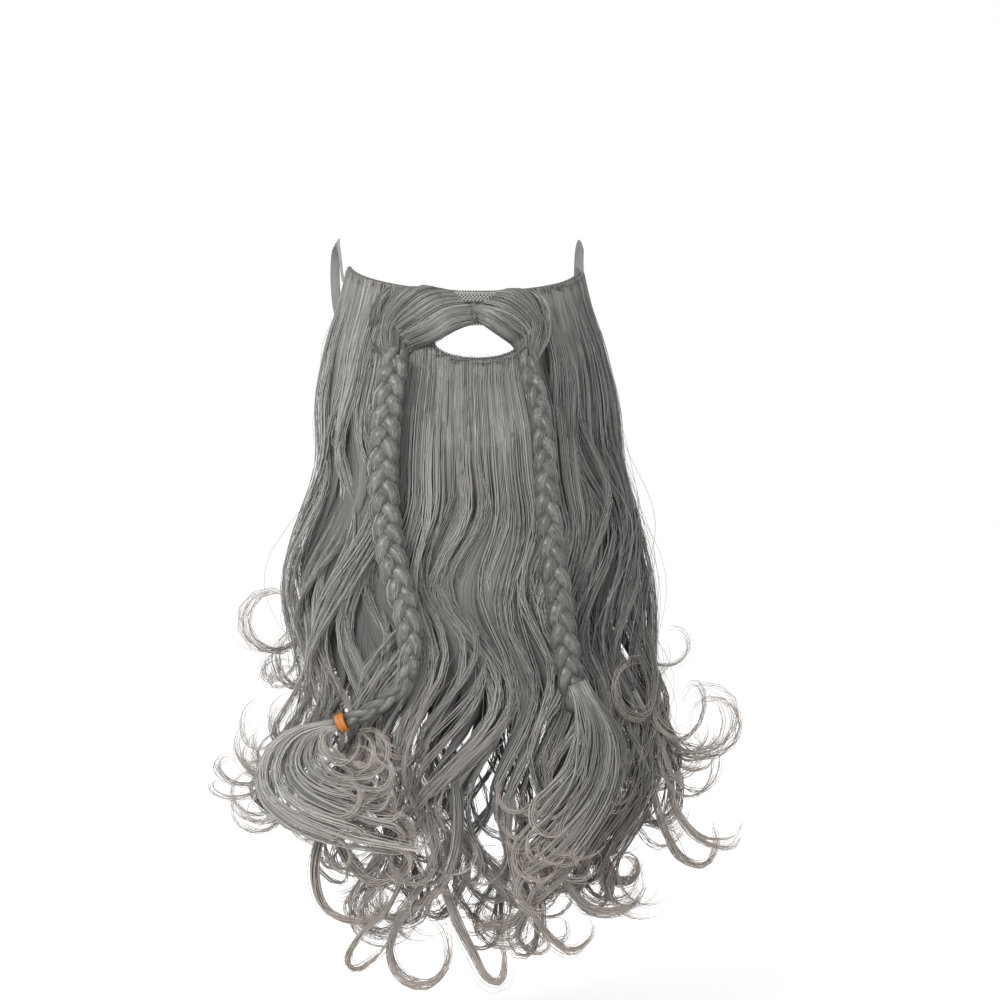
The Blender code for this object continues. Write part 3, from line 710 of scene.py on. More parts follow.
def mouth_rim_z(x, margin):
    """The lower rim of the mouth opening, and level with its corners beyond them."""
    inside = np.clip(1 - (x / (MOUTH_HALF_WIDTH + margin)) ** 2, 0, None)
    beyond = np.clip(np.abs(x) - MOUTH_HALF_WIDTH - margin, 0, None)
    return MOUTH_MIDDLE_Z - (MOUTH_HALF_HEIGHT + margin) * np.sqrt(inside) + 0.35 * beyond


def fall_wisps(fall, rng):
    """Random values for each wisp of a fall, with those that its lock shares."""
    count = fall.wisps
    place = (np.arange(count) + 0.5 + rng.uniform(-0.5, 0.5, count)) / count
    centres = (np.arange(fall.locks) + 0.5 + rng.uniform(-0.3, 0.3, fall.locks)) / fall.locks
    scatter = rng.normal(0, 0.25 / fall.locks, (count, 1))
    lock = np.abs(place[:, None] + scatter - centres).argmin(axis=1)
    span = fall.hung[1] - fall.hung[0]
    lock_hung = fall.hung[0] + span * centres
    shared = {
        "phase": rng.normal(0, 0.8, fall.locks),
        "stretch": rng.uniform(0.85, 1.2, fall.locks),
        "reach": fall.wave * rng.uniform(0.7, 1.5, fall.locks),
        "rise": rng.uniform(-0.012, 0.025, fall.locks),
        "side": np.sign(lock_hung * 1.5 + rng.normal(0, 0.6, fall.locks)),
        "layer": rng.uniform(-0.004, 0.003, fall.locks),
        "tone": rng.normal(0, 0.03, fall.locks),
    }
    own = {name: values[lock] for name, values in shared.items()}
    tress = np.arange(count) // TRESS_WISPS
    tresses = tress[-1] + 1
    # Some tresses end higher than the rest of their lock, and some curl to its other side.
    higher = np.where(rng.random(tresses) < 0.5, rng.uniform(0.01, 0.075, tresses), 0)
    flipped = np.where(rng.random(tresses) < 0.4, -1, 1)
    own["side"] = own["side"][tress * TRESS_WISPS] * flipped[tress]
    own["phase"] = own["phase"] + rng.normal(0, 0.35, tresses)[tress] + rng.normal(0, 0.08, count)
    own["reach"] = own["reach"] * rng.uniform(0.7, 1.3, tresses)[tress] * rng.uniform(0.92, 1.08, count)
    own["rise"] = own["rise"][tress * TRESS_WISPS] + higher[tress] + rng.normal(0, 0.003, count)
    own["curl"] = fall.curl * (rng.uniform(0.55, 1.35, tresses)[tress] + rng.normal(0, 0.05, count))
    own["turn"] = np.radians(rng.uniform(120, 400, tresses)[tress] + rng.normal(0, 20, count))
    own["tilt"] = np.clip(rng.normal(0.1, 0.6, tresses), -0.35, 1.2)[tress] + rng.normal(0, 0.06, count)
    inner = rng.random(tresses)[tress] < fall.inner
    own["layer"] = own["layer"] + rng.uniform(-0.003, 0.003, count) - INNER_DEPTH * inner
    own["tone"] = own["tone"] + rng.normal(0, 0.05, count)
    own["hung"] = fall.hung[0] + span * place
    own["tress_hung"] = fall.hung[0] + span * (tress + 0.5) / tresses
    own["lock_hung"] = lock_hung[lock]
    own["across"] = fall.across[0] + (fall.across[1] - fall.across[0]) * place
    own["gather"] = rng.uniform(0.15, 0.85, tresses)[tress]
    return own


def fall_roots(fall, across, down):
    """Where wisps start, on the bound edge or below it, as across and the height there.

    The chin's follow the mouth's rim."""
    if fall.name != "chin_hair":
        down = np.clip(down - EDGE_ROOTS, 0, None)
        return across, face_spot(across, down)[:, 2] + HEM_RADIUS * (down == 0)
    x = np.sin(across * math.pi / 2) * FACE_ROWS[4].half_width
    z = mouth_rim_z(x, 0.0) - (down - fall.down[0]) * 0.060
    return np.array([face_place(*spot)[0] for spot in zip(x, z)]), z


def down_face(across, z, out):
    """Paths down the face, one for each across, with points at the heights z that stand off by out."""
    down = np.linspace(0, 1, len(FACE_ROWS))
    places = np.empty_like(z)
    for index, side in enumerate(across):
        heights = face_spot(np.full(len(down), side), down)[:, 2]
        places[index] = np.interp(z[index], heights[::-1], down[::-1])
    return face_point(across[:, None], places, out)


def fall_paths(fall, wisp, down):
    """Wavy paths down a fall, one for each wisp, and the outward direction along them."""
    across, top_z = fall_roots(fall, wisp["across"], down)
    top_z = top_z[:, None]
    tip_z = fall.middle_z + (fall.side_z - fall.middle_z) * np.abs(wisp["hung"]) ** TIP_RISE_POWER
    tip_z = tip_z + wisp["rise"]
    share = np.linspace(0, 1, FALL_STEPS)[None, :] ** 1.25
    z = top_z + (tip_z[:, None] - top_z) * share
    gathered = wisp["gather"][:, None] * smooth_step((share - 0.25) / 0.65)
    to_tress = (wisp["tress_hung"] - wisp["hung"])[:, None]
    joined = wisp["hung"][:, None] + to_tress * smooth_step(share / 0.7)
    hung = joined + (wisp["lock_hung"] - wisp["tress_hung"])[:, None] * gathered
    point, outward, along = hang_place(fall.hang, hung * math.pi / 2, z)
    settled = smooth_step((top_z - z) / ROOT_BLEND)[..., None]
    swing = math.tau * z / (WAVE_LENGTH * wisp["stretch"][:, None]) + wisp["phase"][:, None]
    grown = smooth_step((fall.calm_z - z) / 0.080) + 0.45 * smooth_step((share - 0.7) * 3)
    reach = wisp["reach"][:, None] * grown
    path = down_face(across, z, ROOT_OUT) * (1 - settled) + point * settled
    deeper = smooth_step((top_z - z) / LAYER_BLEND)
    depth = reach * 0.45 * np.cos(swing) + wisp["layer"][:, None] * deeper
    path = path + (along * (reach * np.sin(swing))[..., None] + outward * depth[..., None]) * settled
    return path, outward


def curled_on(path, wisp):
    """The paths with an arc of a ring added at each end."""
    end = path[:, -1]
    ahead = unit(path[:, -1] - path[:, -2])
    side = unit(np.cross(FORWARD, ahead)) * wisp["side"][:, None] - FORWARD * wisp["tilt"][:, None]
    side = unit(side - ahead * (side * ahead).sum(1, keepdims=True))
    cross = np.cross(ahead, side)
    part = np.linspace(0, 1, CURL_STEPS + 1)[None, 1:]
    angle = wisp["turn"][:, None] * part
    first = wisp["curl"][:, None]
    radius = first * (1 - CURL_SHRINK * part)
    arc = (end[:, None] + ahead[:, None] * (np.sin(angle) * radius)[..., None]
           + side[:, None] * (first - np.cos(angle) * radius)[..., None]
           + cross[:, None] * (CURL_CLIMB * angle * np.sign(wisp["tilt"])[:, None])[..., None])
    return np.concatenate([path, arc], axis=1)


def build_fall(fall, rng, material):
    """One fall of wavy hair that ends in curls. Returns its wisps' paths."""
    wisp = fall_wisps(fall, rng)
    down = fall.down[0] + (fall.down[1] - fall.down[0]) * rng.random(fall.wisps) ** 2
    path, outward = fall_paths(fall, wisp, down)
    path = curled_on(path, wisp)
    steps = path.shape[1]
    share = np.linspace(0, 1, steps)
    span = fall.hung[1] - fall.hung[0]
    room = span / fall.wisps * math.pi / 2 * HANG_RADIUS
    full = rng.uniform(*WISP_ROOMS, (fall.wisps, 1)) * room
    narrow = smooth_step((share - 0.20) / 0.50)
    half_widths = full * (1 - narrow) + rng.uniform(*WISP_LOWER, (fall.wisps, 1)) * narrow
    half_widths = half_widths * (1 - 0.55 * smooth_step((share - 0.80) / 0.20))
    half_depths = np.minimum(WISP_DEPTH, half_widths * 0.8)
    tones = np.clip(fall.tone + wisp["tone"], 0.1, 0.95)
    hair = Hair(rng)
    hair.strands(path, outward[:, 0], half_widths, half_depths, tones, share, fall.strands, fall.points)
    hair.make(fall.name, material, fall.node)
    return path


def build_fall_core(fall, rng, material):
    """Broad locks inside a fall, so that light doesn't show through its thick part. Their dark colour
    is painted shade in the gaps between the wisps.
    """
    locks = fall.locks
    place = (np.arange(locks) + 0.5) / locks
    span = fall.hung[1] - fall.hung[0]
    hung = fall.hung[0] + span * place
    wisp = {
        "across": fall.across[0] + (fall.across[1] - fall.across[0]) * place,
        "hung": hung, "tress_hung": hung, "lock_hung": hung, "gather": np.zeros(locks),
        "stretch": np.ones(locks), "rise": np.full(locks, CORE_RISE) + rng.uniform(-0.01, 0.02, locks),
        "phase": np.zeros(locks), "reach": np.full(locks, fall.wave),
        "layer": np.full(locks, fall.core) + 0.002 * (np.arange(locks) % 2),
    }
    path, outward = fall_paths(fall, wisp, np.full(locks, sum(fall.down) / 2))
    share = np.linspace(0, 1, path.shape[1])
    beside = np.linalg.norm(np.gradient(path, axis=0), axis=2)
    half_width = beside * 0.56 * (1 - 0.95 * smooth_step((share - 0.68) / 0.32))
    half_depth = CORE_DEPTHS[0] + CORE_DEPTHS[1] * np.sin(math.pi * share)
    tones = np.arange(CORE_SIDES + 1)[None] / CORE_SIDES
    ridges = 1 + 0.10 * rng.uniform(-1, 1, (locks, 1, CORE_SIDES))
    parts = [tube_arrays(path, outward, half_width, half_depth, tones, share, CORE_SIDES, ridges)]
    join_arrays(fall.name.replace("hair", "core"), parts, material)


def braid_centres(braid, count):
    """Centre points, sideways and outward directions and half widths along a braid."""
    centres = smooth_route(braid.route, count)
    ahead = unit(np.gradient(centres, axis=0))
    wide = unit(np.cross(ahead, FORWARD))
    deep = np.cross(wide, ahead)
    places = np.linspace(0, len(braid.half_widths) - 1, count)
    half = np.interp(places, range(len(braid.half_widths)), braid.half_widths)
    return centres, wide, deep, half


def build_braid(braid, rng, material):
    """Three strands of many fibres that cross over each other."""
    count = BRAID_STEPS
    centres, wide, deep, half = braid_centres(braid, count)
    length = np.linalg.norm(np.diff(centres, axis=0), axis=1).sum()
    angle = math.tau * np.linspace(0, length, count) / BRAID_PITCH
    paths = []
    for third in range(3):
        phase = angle + third * math.tau / 3
        side = half * BRAID_SWING * np.sin(phase)
        out = half * BRAID_LIFT * np.sin(2 * phase)
        paths.append(centres + wide * side[:, None] + deep * out[:, None])
    paths = np.stack(paths)
    outwards = np.broadcast_to(deep, paths.shape)
    ends = 0.55 + 0.45 * smooth_step(np.linspace(0, 1, count) * 14)
    half_widths = half * BRAID_THIRD * ends
    half_depths = half_widths * 0.86
    lengthwise = np.linspace(0, 0.58, count)
    hair = Hair(rng)
    # The left braid's lower tone is painted shade on the side away from the key light. The shells,
    # darker than the fibres over them, are painted shade in the gaps between the fibres.
    tones = (0.24 if braid.route[0][0] < 0 else 0.18) + rng.normal(0, 0.02, 3)
    hair.shells(paths, outwards, half_widths * 0.93, half_depths * 0.93, tones - 0.06, lengthwise,
                BRAID_SHELL_SIDES, 0.04)
    hair.strands(paths, outwards, half_widths * 1.01, half_depths * 1.01, tones + 0.14, lengthwise,
                 BRAID_FIBRES, 60, fill=0.97, stray=0.06, ends=(0.97, 1.0), width=0.0004,
                 tone_spread=0.20, wobble=0.0003, even=True)
    hair.make(braid.name, material, braid.node)


def build_moustache(side_name, braid, rng, material):
    """Hair swept from under the nose and the top edge to where the braid starts."""
    side = -1 if side_name == "right" else 1
    sweeps = SWEEPS[side_name]
    centres, wide, _, half = braid_centres(braid, 60)
    inner = np.linspace(0, len(sweeps) - 2, SWEEP_BUNDLES)
    outer = np.full(OUTER_BUNDLES, len(sweeps) - 1.0)
    paths, tones = [], []
    for place in (*inner, *outer):
        low = sweeps[int(place)]
        high = sweeps[min(int(place) + 1, len(sweeps) - 1)]
        share = place - int(place)
        jitter = rng.uniform(-1, 1, (4, 2)) * (0.6 if place < len(sweeps) - 1 else 1.8)
        spots = [
            np.array(a) * (1 - share) + np.array(b) * share + jitter[k] * (0.4 if k == 0 else 1)
            for k, (a, b) in enumerate(zip(low[:4], high[:4]))
        ]
        out = (low.out * (1 - share) + high.out * share + rng.uniform(-1, 1)) / 1000
        offs = (BASE_WALL * 0.6, BASE_WALL + out * 0.75, BASE_WALL + out, BASE_WALL + out * 0.95)
        points = [face_at(x / 1000, z / 1000, off) for (x, z), off in zip(spots, offs)]
        gather = (place / (len(sweeps) - 1) * 2 - 1) * 0.8
        end = centres[3] + wide[3] * (half[3] * 0.5 * gather * -side)
        below = centres[7] + wide[7] * (half[7] * 0.3 * gather * -side)
        paths.append(smooth_route((*points, end, below), 28))
        tones.append(0.41 + rng.normal(0, 0.09))
    paths = np.stack(paths)
    share = np.linspace(0, 1, paths.shape[1])
    shape = 0.45 + 0.55 * smooth_step(share * 3.5) - 0.35 * smooth_step((share - 0.65) * 2.8)
    half_widths = 0.0026 * (1.0 if side_name == "right" else 0.8) * shape
    half_depths = half_widths * 0.62
    lengthwise = share * 0.5
    tones = np.array(tones)
    hair = Hair(rng)
    # The shells, darker than the strands over them, are painted shade in the gaps between the bundles.
    hair.shells(paths, FORWARD, half_widths * 0.8, half_depths * 0.75, tones - 0.31, lengthwise, 8)
    hair.strands(paths, FORWARD, half_widths, half_depths, tones, lengthwise, 18, 17, fill=0.6,
                 stray=0.04, ends=(0.93, 1.0), tone_spread=0.14, wobble=0.0006)
    lip = build_lip_hair(side, rng)
    share = np.linspace(0, 1, lip.shape[1])
    sizes = 0.0016 * (1 - 0.5 * share)
    hair.strands(lip, FORWARD, sizes, sizes * 0.5, np.full(len(lip), 0.38), share * 0.4, 14, 8,
                 stray=0.1, ends=(0.75, 1.0))
    hair.make(f"moustache_hair_{side_name}", material, f"moustache_{side_name}")


def build_lip_hair(side, rng):
    """Paths of the short hair between the edging and the lip, behind the swept hair."""
    paths = []
    for place in np.linspace(0, 1, LIP_BUNDLES):
        x = side * (0.0008 + 0.022 * place)
        top = 0.0225 - 0.004 * place
        rim = MOUTH_MIDDLE_Z + MOUTH_HALF_HEIGHT * math.sqrt(max(0.05, 1 - (x / MOUTH_HALF_WIDTH) ** 2))
        lean = side * (0.003 + 0.006 * place) * rng.uniform(0.7, 1.3)
        paths.append(smooth_route((
            face_at(x, top, BASE_WALL * 0.7),
            face_at(x + lean * 0.4, (top + rim) / 2, BASE_WALL + 0.002),
            face_at(x + lean, rim - 0.0005, BASE_WALL + 0.0016),
        ), 12))
    return np.stack(paths)


def build_tail(tail, rng, material):
    """The loose hair below a braid: fanned out side by side, or arcs that lie inside each other."""
    main = smooth_route(tail.route, 30)
    wide, deep = frames_along(main[None], FORWARD[None])
    share = np.linspace(0, 1, len(main))
    count = TAIL_BUNDLES
    paths = []
    for place in np.linspace(0, 1, count) + rng.normal(0, 0.06, count):
        route = main
        if tail.nested:
            stretch = np.array((0.42 + 0.98 * place, 1.0, 0.50 + 0.62 * place))
            route = main[0] + (main - main[0]) * stretch
        crossing = place * 2 - 1 + rng.normal(0, 0.6) * smooth_step(share * 1.3)
        lateral = crossing * tail.half_width * (0.45 + 0.55 * smooth_step(share * 3))
        rate, phase = rng.uniform(5, 9), rng.uniform(0, math.tau)
        lateral = lateral + TAIL_SWAY * share * np.sin(rate * share + phase)
        depth = rng.uniform(-0.006, 0.004) * smooth_step(share * 2)
        path = route + wide[0] * lateral[:, None] + deep[0] * depth[:, None]
        cut = rng.uniform(0.70, 1.0)
        paths.append(smooth_route(path[: int(len(path) * cut): 2], 24))
    wisps = {
        "side": rng.choice((-1.0, 1.0), count), "tilt": np.abs(rng.normal(0, 0.4, count)),
        "turn": np.radians(rng.uniform(60, 280, count)), "curl": rng.uniform(0.007, 0.016, count),
    }
    paths = curled_on(np.stack(paths), wisps)
    share = np.linspace(0, 1, paths.shape[1])
    half_widths = 0.0026 * (0.45 + 0.55 * smooth_step(share * 4))
    half_widths = half_widths * (1 - 0.75 * smooth_step((share - 0.5) / 0.5))
    half_widths = half_widths * rng.uniform(0.7, 1.3, (count, 1))
    half_depths = half_widths * 0.8
    tones = np.clip((0.80 if tail.nested else 0.50) + rng.normal(0, 0.10, count), 0.2, 0.95)
    hair = Hair(rng)
    hair.strands(paths, FORWARD, half_widths, half_depths, tones, 0.35 + 0.6 * share, TAIL_STRANDS, 24,
                 stray=0.08)
    hair.make(tail.name, material, tail.node)


def build_ringlets(rng, material):
    """Bundles in front of the falls, each along its own route and curled at its end."""
    paths, widths = [], []
    for ringlet in RINGLETS:
        x, z = (np.array(column) / 1000 for column in zip(*ringlet.spots))
        half_width = np.interp(z, [row.z for row in reversed(FRONT_HANG)],
                               [row.half_width for row in reversed(FRONT_HANG)])
        turn = np.arcsin(np.clip(x / half_width, -0.95, 0.95))
        point, outward, _ = hang_place(FRONT_HANG, turn, z)
        point[:, 0] = x
        lift = smooth_step(np.linspace(0, 1, len(x)) * 4)
        point = point + outward * (RINGLET_OUT * lift)[:, None]
        for _ in range(RINGLET_BUNDLES):
            shift = rng.uniform(-1, 1, 3) * ringlet.width * 0.0006
            loosened = rng.normal(0, 0.0009, point.shape) * np.linspace(0, 1, len(x))[:, None]
            paths.append(smooth_route(point + shift + loosened, 44))
            widths.append(ringlet.width / 1000 * rng.uniform(0.7, 1.1))
    paths = np.stack(paths)
    share = np.linspace(0, 1, paths.shape[1])
    half_widths = np.array(widths)[:, None] * (1 - 0.65 * smooth_step((share - 0.5) / 0.5))
    tones = 0.62 + rng.normal(0, 0.06, len(paths))
    hair = Hair(rng)
    hair.strands(paths, FORWARD, half_widths, half_widths * 0.6, tones, 0.45 + 0.53 * share,
                 RINGLET_STRANDS, STRAND_POINTS, stray=0.08)
    hair.make("front_ringlets", material)


def build_flyaways(routes, rng, material):
    """Fine single hairs that stray from the falls and cross each other."""
    strays = np.concatenate([
        route[rng.choice(len(route), FLYAWAYS, replace=False), :FALL_STEPS + 6] for route in routes
    ])
    steps = strays.shape[1]
    share = np.linspace(0, 1, steps)
    rates = rng.uniform(5, 16, (2, len(strays), 1))
    phases = rng.uniform(0, math.tau, (2, len(strays), 1))
    reach = rng.uniform(0.003, 0.014, (len(strays), 1)) * smooth_step(share * 1.6)
    strays = strays + (0, -0.002, 0)
    strays[..., 0] += reach * np.sin(rates[0] * share + phases[0])
    strays[..., 1] -= 0.2 * reach * (1 + np.sin(rates[1] * share + phases[1]))
    parts = [single_hairs(strays, 0.00013, rng.uniform(0.35, 0.85, len(strays)), share)]
    fuzz = build_rim_fuzz(rng)
    tones = rng.uniform(0.4, 0.9, len(fuzz))
    parts.append(single_hairs(fuzz, 0.00014, tones, np.linspace(0, 0.3, fuzz.shape[1])))
    join_arrays("flyaway_hair", parts, material)


def single_hairs(paths, half_width, tones, lengthwise):
    return tube_arrays(paths, FORWARD, half_width, half_width * 0.8, tones, lengthwise, 3)


def build_rim_fuzz(rng):
    """Paths of short hairs that stand up along the lower rim of the mouth opening."""
    paths = []
    for x in rng.uniform(-0.030, 0.030, RIM_FUZZ):
        z = mouth_rim_z(x, 0.0) - rng.uniform(0, 0.004)
        length = rng.uniform(0.002, 0.0045)
        lean = rng.normal(0, 0.0025)
        paths.append(smooth_route((
            face_at(x, z, ROOT_OUT), face_at(x + lean * 0.4, z + length * 0.6, ROOT_OUT + 0.0015),
            face_at(x + lean, z + length, ROOT_OUT + 0.0035),
        ), 7))
    return np.stack(paths)


def build_band(braid, material):
    """Turns of thin rubber wound round the end of the braid."""
    centres, wide, deep, _ = braid_centres(braid, 60)
    ahead = unit(centres[-1] - centres[-2])
    steps = 150
    share = np.linspace(0, 1, steps)
    turn = share * BAND_TURNS * math.tau
    tucked = smooth_step(1 - share * 12) + smooth_step(share * 12 - 11)
    radius = BAND_RADIUS * (1 - 0.14 * tucked)
    radius = radius * (1 + 0.04 * np.sin(turn * 0.37))
    travel = 0.0003 + BAND_CORD_RADIUS + (BAND_LENGTH - 2 * BAND_CORD_RADIUS) * share
    path = (centres[-1] + ahead * travel[:, None] + wide[-1] * (radius * np.cos(turn))[:, None]
            + deep[-1] * (radius * 0.88 * np.sin(turn))[:, None])
    parts = [cord_arrays(path, ahead, BAND_CORD_RADIUS, (0, 1), 10)]
    join_arrays("rubber_band", parts, material, ("braid_band",))


def build_edging(material):
    """Crochet under the nose: light yarns that cross like a net, on a dark strip."""
    out = BASE_WALL + GAP
    span = 2 * EDGING_ACROSS / EDGING_STITCHES
    parts = []
    steps = 24
    share = np.linspace(0, 1, steps)
    for slant in (1, -1):
        for stitch in range(-EDGING_ROWS, EDGING_STITCHES + 1):
            start = -EDGING_ACROSS + stitch * span + (0 if slant > 0 else EDGING_ROWS * span * 0.8)
            across = start + slant * share * EDGING_ROWS * span * 0.8
            inside = np.abs(across) <= EDGING_ACROSS
            if inside.sum() < 6:
                continue
            down = EDGING_DOWN[0] + (EDGING_DOWN[1] - EDGING_DOWN[0]) * share
            lift = out + 0.0009 + 0.0004 * slant * np.cos(share * math.tau * EDGING_ROWS)
            path = face_point(across, down, lift)[inside]
            parts.append(cord_arrays(path, FORWARD, EDGING_YARN_RADIUS, (0.55, 0.98), 6, share[inside]))
    across = np.linspace(-EDGING_ACROSS, EDGING_ACROSS, 60)
    for level, tone in ((EDGING_DOWN[0], 0.7), (EDGING_DOWN[1], 0.05)):
        path = face_point(across, level, out + 0.0006)
        parts.append(cord_arrays(path, FORWARD, EDGING_ROPE_RADIUS, (tone, tone + 0.2), 6))
    middle = sum(EDGING_DOWN) / 2
    path = face_point(across, middle, out + 0.0002)
    outward = face_outward(across, middle)
    parts.append(tube_arrays(path[None], outward[None], *EDGING_STRIP, np.linspace(0.0, 0.12, 11)[None],
                             np.linspace(0, 1, 60), 10))
    join_arrays("edging_crochet", parts, material, ("nose_edging",))


def knit_places():
    """The base's grid as across and down, and which of its cells are kept round the mouth."""
    across, down = np.meshgrid(
        np.linspace(-1, 1, KNIT_COLUMNS + 1), np.linspace(0, 1, KNIT_ROWS + 1), indexing="ij",
    )
    spot = face_spot(across, down)
    front = np.abs(across) < 0.5
    reach = (spot[..., 0] / MOUTH_HALF_WIDTH) ** 2
    reach = reach + ((spot[..., 2] - MOUTH_MIDDLE_Z) / MOUTH_HALF_HEIGHT) ** 2
    reach = np.where(front, reach, FAR_FROM_MOUTH)
    cell = (reach[:-1, :-1] + reach[1:, :-1] + reach[1:, 1:] + reach[:-1, 1:]) / 4
    kept = cell > 1.0
    around = np.zeros(across.shape, int)
    for i in (0, 1):
        for j in (0, 1):
            around[i: i + KNIT_COLUMNS, j: j + KNIT_ROWS] += ~kept
    for i, j in zip(*np.nonzero((around > 0) & (around < 4))):
        scale = 1 / math.sqrt(reach[i, j])
        x = spot[i, j, 0] * scale
        z = MOUTH_MIDDLE_Z + (spot[i, j, 2] - MOUTH_MIDDLE_Z) * scale
        across[i, j], down[i, j] = face_place(x, z)
    return across, down, kept


def build_base(material):
    """The rib-knitted base, with its edges and the mouth opening bound in yarn."""
    across, down, kept = knit_places()
    rib = np.abs(np.sin(across * math.pi / 2 * KNIT_RIBS))
    outer = face_point(across, down, BASE_WALL - RIB_DEPTH + RIB_DEPTH * 2 * rib)
    inner = face_point(across, down, RIB_DEPTH * rib)
    count = across.size
    index = np.arange(count).reshape(across.shape)
    quads = np.stack([index[:-1, :-1], index[1:, :-1], index[1:, 1:], index[:-1, 1:]], axis=-1)[kept]
    edges = np.stack([quads, np.roll(quads, -1, axis=1)], axis=-1).reshape(-1, 2)
    seen = {tuple(edge) for edge in edges.tolist()}
    rim = np.array([edge for edge in edges.tolist() if (edge[1], edge[0]) not in seen])
    walls = np.stack([rim[:, 1], rim[:, 0], rim[:, 0] + count, rim[:, 1] + count], axis=-1)
    faces = np.concatenate([quads, quads[:, ::-1] + count, walls])[:, ::-1]
    place = np.stack([across / 2 + 0.5, down], axis=-1).reshape(-1, 2)
    place = np.concatenate([place, place])
    uvs = place[faces.reshape(-1)]
    wall_uv = uvs.reshape(-1, 4, 2)[-len(walls):]
    wall_uv[:, :2] += (0.004, 0.006)
    verts = np.concatenate([outer.reshape(-1, 3), inner.reshape(-1, 3)])
    parts = [(verts, faces.reshape(-1), np.full(len(faces), 4), uvs)]
    for loop in edge_loops():
        parts.append(hem_arrays(*loop))
    join_arrays("knit_base", parts, material, ("face_base",))


def edge_loops():
    """across and down along the base's outer edge and round the mouth opening."""
    side = np.linspace(0, 1, 30)
    width = np.linspace(-1, 1, 160)
    outline = (
        np.concatenate([width, np.full(30, 1.0), width[::-1], np.full(30, -1.0)]),
        np.concatenate([np.zeros(160), side, np.ones(160), side[::-1]]),
    )
    turns = np.linspace(0, math.tau, 90)
    mouth_x = MOUTH_HALF_WIDTH * np.cos(turns)
    mouth_z = MOUTH_MIDDLE_Z + MOUTH_HALF_HEIGHT * np.sin(turns)
    mouth = [face_place(x, z) for x, z in zip(mouth_x, mouth_z)]
    return outline, tuple(np.array(column) for column in zip(*mouth))


def hem_arrays(across, down):
    """Yarn wound round an edge of the base."""
    edge = face_point(across, down, BASE_WALL / 2)
    outward = face_outward(across, down)
    lengths = lengths_along(edge)
    turns = round(lengths[-1] / HEM_PITCH)
    goals = np.linspace(0, lengths[-1], turns * HEM_TURN_STEPS + 1)
    edge = picked(goals, lengths, edge)
    outward = unit(picked(goals, lengths, outward))
    beside = unit(np.cross(unit(np.gradient(edge, axis=0)), outward))
    turn = np.linspace(0, turns * math.tau, len(goals))[:, None]
    path = edge + (outward * np.cos(turn) + beside * np.sin(turn)) * HEM_RADIUS
    return cord_arrays(path, edge - path, HEM_YARN_RADIUS, (0.3, 0.9), HEM_YARN_SIDES)


def build_elastic(name, node, side, material):
    """The flat ribbed elastic round one ear."""
    off = BASE_WALL + 2 * GAP + ELASTIC_THICKNESS / 2
    top, bottom = (face_point(side * across, down, off) for across, down in EAR_LOOP_ENDS)
    route = [(side * x, y, z) for x, y, z in EAR_LOOP_ROUTE]
    centres = smooth_route((top, *route, bottom), ELASTIC_STEPS)
    share = np.linspace(0, 1, ELASTIC_STEPS)
    turned = (np.sin(math.pi * share) ** 4)[:, None]
    sideways = face_outward(side * EAR_LOOP_ENDS[0][0], 0.5)
    outward = sideways * (1 - turned) + unit(centres - centres.mean(axis=0)) * turned
    weft = 1 + 0.14 * (np.arange(ELASTIC_STEPS) % 2)
    ridges = 1 + 0.06 * np.where(np.arange(ELASTIC_SIDES) % 2, 1.0, -1.0)
    tones = np.linspace(0.1, 0.9, ELASTIC_SIDES + 1)[None]
    parts = [tube_arrays(centres[None], outward[None], ELASTIC_WIDTH / 2, ELASTIC_THICKNESS / 2 * weft,
                         tones, share, ELASTIC_SIDES, ridges)]
    join_arrays(name, parts, material, (node,))


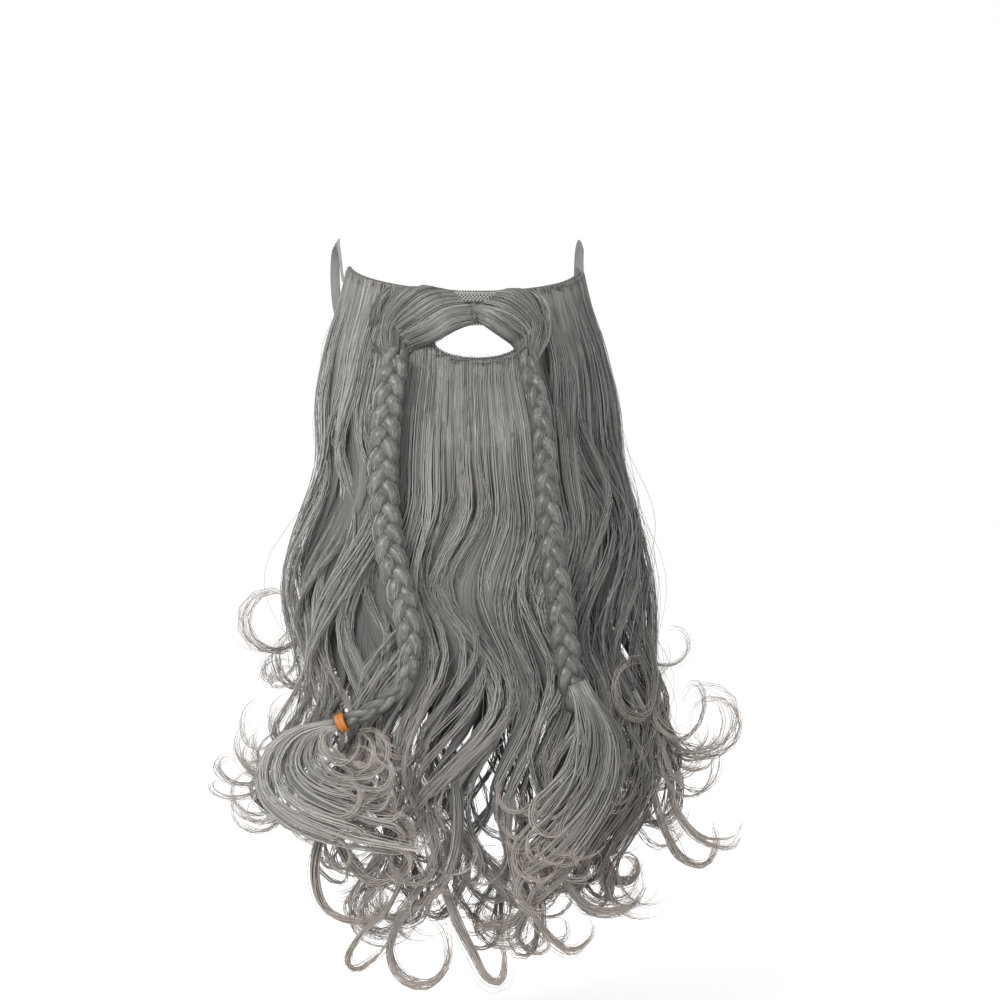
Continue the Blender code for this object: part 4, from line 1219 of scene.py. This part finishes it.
def build_stage():
    """A wide white floor below the beard, soft light and the camera."""
    floor_z = cad_low.z - FLOOR_BELOW
    data = bpy.data.meshes.new("floor")
    signs = ((-1, -1), (1, -1), (1, 1), (-1, 1))
    corners = [(x * FLOOR_HALF, y * FLOOR_HALF, floor_z) for x, y in signs]
    data.from_pydata(corners, [], [(0, 1, 2, 3)])
    nodes = Nodes("floor_paint", 0.9)
    nodes.shader.inputs["Base Color"].default_value = (0.93, 0.93, 0.93, 1)
    nodes.shader.inputs["Emission Color"].default_value = (1, 1, 1, 1)
    nodes.shader.inputs["Emission Strength"].default_value = 0.08
    data.materials.append(nodes.material)
    floor = bpy.data.objects.new("floor", data)
    bpy.context.scene.collection.objects.link(floor)

    world = bpy.data.worlds.new("studio")
    world.use_nodes = True
    world.node_tree.nodes["Background"].inputs["Color"].default_value = (1, 1, 1, 1)
    world.node_tree.nodes["Background"].inputs["Strength"].default_value = 1.0
    bpy.context.scene.world = world

    for name, place, size, power in (
        ("key", (-1.1, -1.7, 1.1), 0.8, 55),
        ("fill", (1.1, -1.8, 0.2), 1.2, 6),
    ):
        light = bpy.data.lights.new(name, "AREA")
        light.size = size
        light.energy = power
        lamp = bpy.data.objects.new(name, light)
        lamp.location = place
        aim = Vector((0, 0, -0.15)) - Vector(place)
        lamp.rotation_euler = aim.to_track_quat("-Z", "Y").to_euler()
        bpy.context.scene.collection.objects.link(lamp)

    camera = bpy.data.objects.new("camera", bpy.data.cameras.new("camera"))
    half_frame = IMAGE_PIXELS / 2 * MM_PER_PIXEL / 1000
    camera.data.sensor_width = SENSOR_WIDTH
    camera.data.lens = SENSOR_WIDTH / 2 * CAMERA_DISTANCE / half_frame
    centre_x = (IMAGE_PIXELS / 2 - ORIGIN_PIXEL[0]) * MM_PER_PIXEL / 1000
    centre_z = (ORIGIN_PIXEL[1] - IMAGE_PIXELS / 2) * MM_PER_PIXEL / 1000
    target = Vector((centre_x / math.cos(CAMERA_AZIMUTH), 0, centre_z))
    back = Vector((
        math.sin(CAMERA_AZIMUTH) * math.cos(CAMERA_ELEVATION),
        -math.cos(CAMERA_AZIMUTH) * math.cos(CAMERA_ELEVATION),
        math.sin(CAMERA_ELEVATION),
    ))
    camera.location = target + back * CAMERA_DISTANCE
    camera.rotation_euler = (-back).to_track_quat("-Z", "Y").to_euler()
    bpy.context.scene.collection.objects.link(camera)
    bpy.context.scene.camera = camera


def build():
    """The stage and every piece, in the order in which they draw random values."""
    bpy.context.scene.view_settings.view_transform = "Standard"
    rng = np.random.default_rng(SEED)
    build_stage()
    elastic = yarn_material("woven_elastic", (0.10, 0.10, 0.10), (0.30, 0.30, 0.29), 12.0, 300.0)
    for side_name, side in (("right", -1), ("left", 1)):
        build_elastic(f"elastic_{side_name}", f"ear_loop_{side_name}", side, elastic)
    hair = hair_material("silver_hair")
    deep_hair = painted_shade_material("deep_hair")
    routes = []
    for fall in FALLS:
        routes.append(build_fall(fall, rng, hair))
        build_fall_core(fall, rng, deep_hair)
    build_flyaways(routes[:3], rng, hair)
    for braid, side_name in zip(BRAIDS, ("right", "left")):
        build_braid(braid, rng, hair)
        build_moustache(side_name, braid, rng, hair)
    for tail in TAILS:
        build_tail(tail, rng, hair)
    build_ringlets(rng, hair)
    build_band(BRAIDS[0], rubber_material())
    build_edging(yarn_material("crochet_yarn", (0.025, 0.025, 0.025), (0.40, 0.39, 0.37)))
    build_base(yarn_material("knit_yarn", (0.05, 0.05, 0.05), (0.17, 0.17, 0.16), 500.0, 160.0))


build()
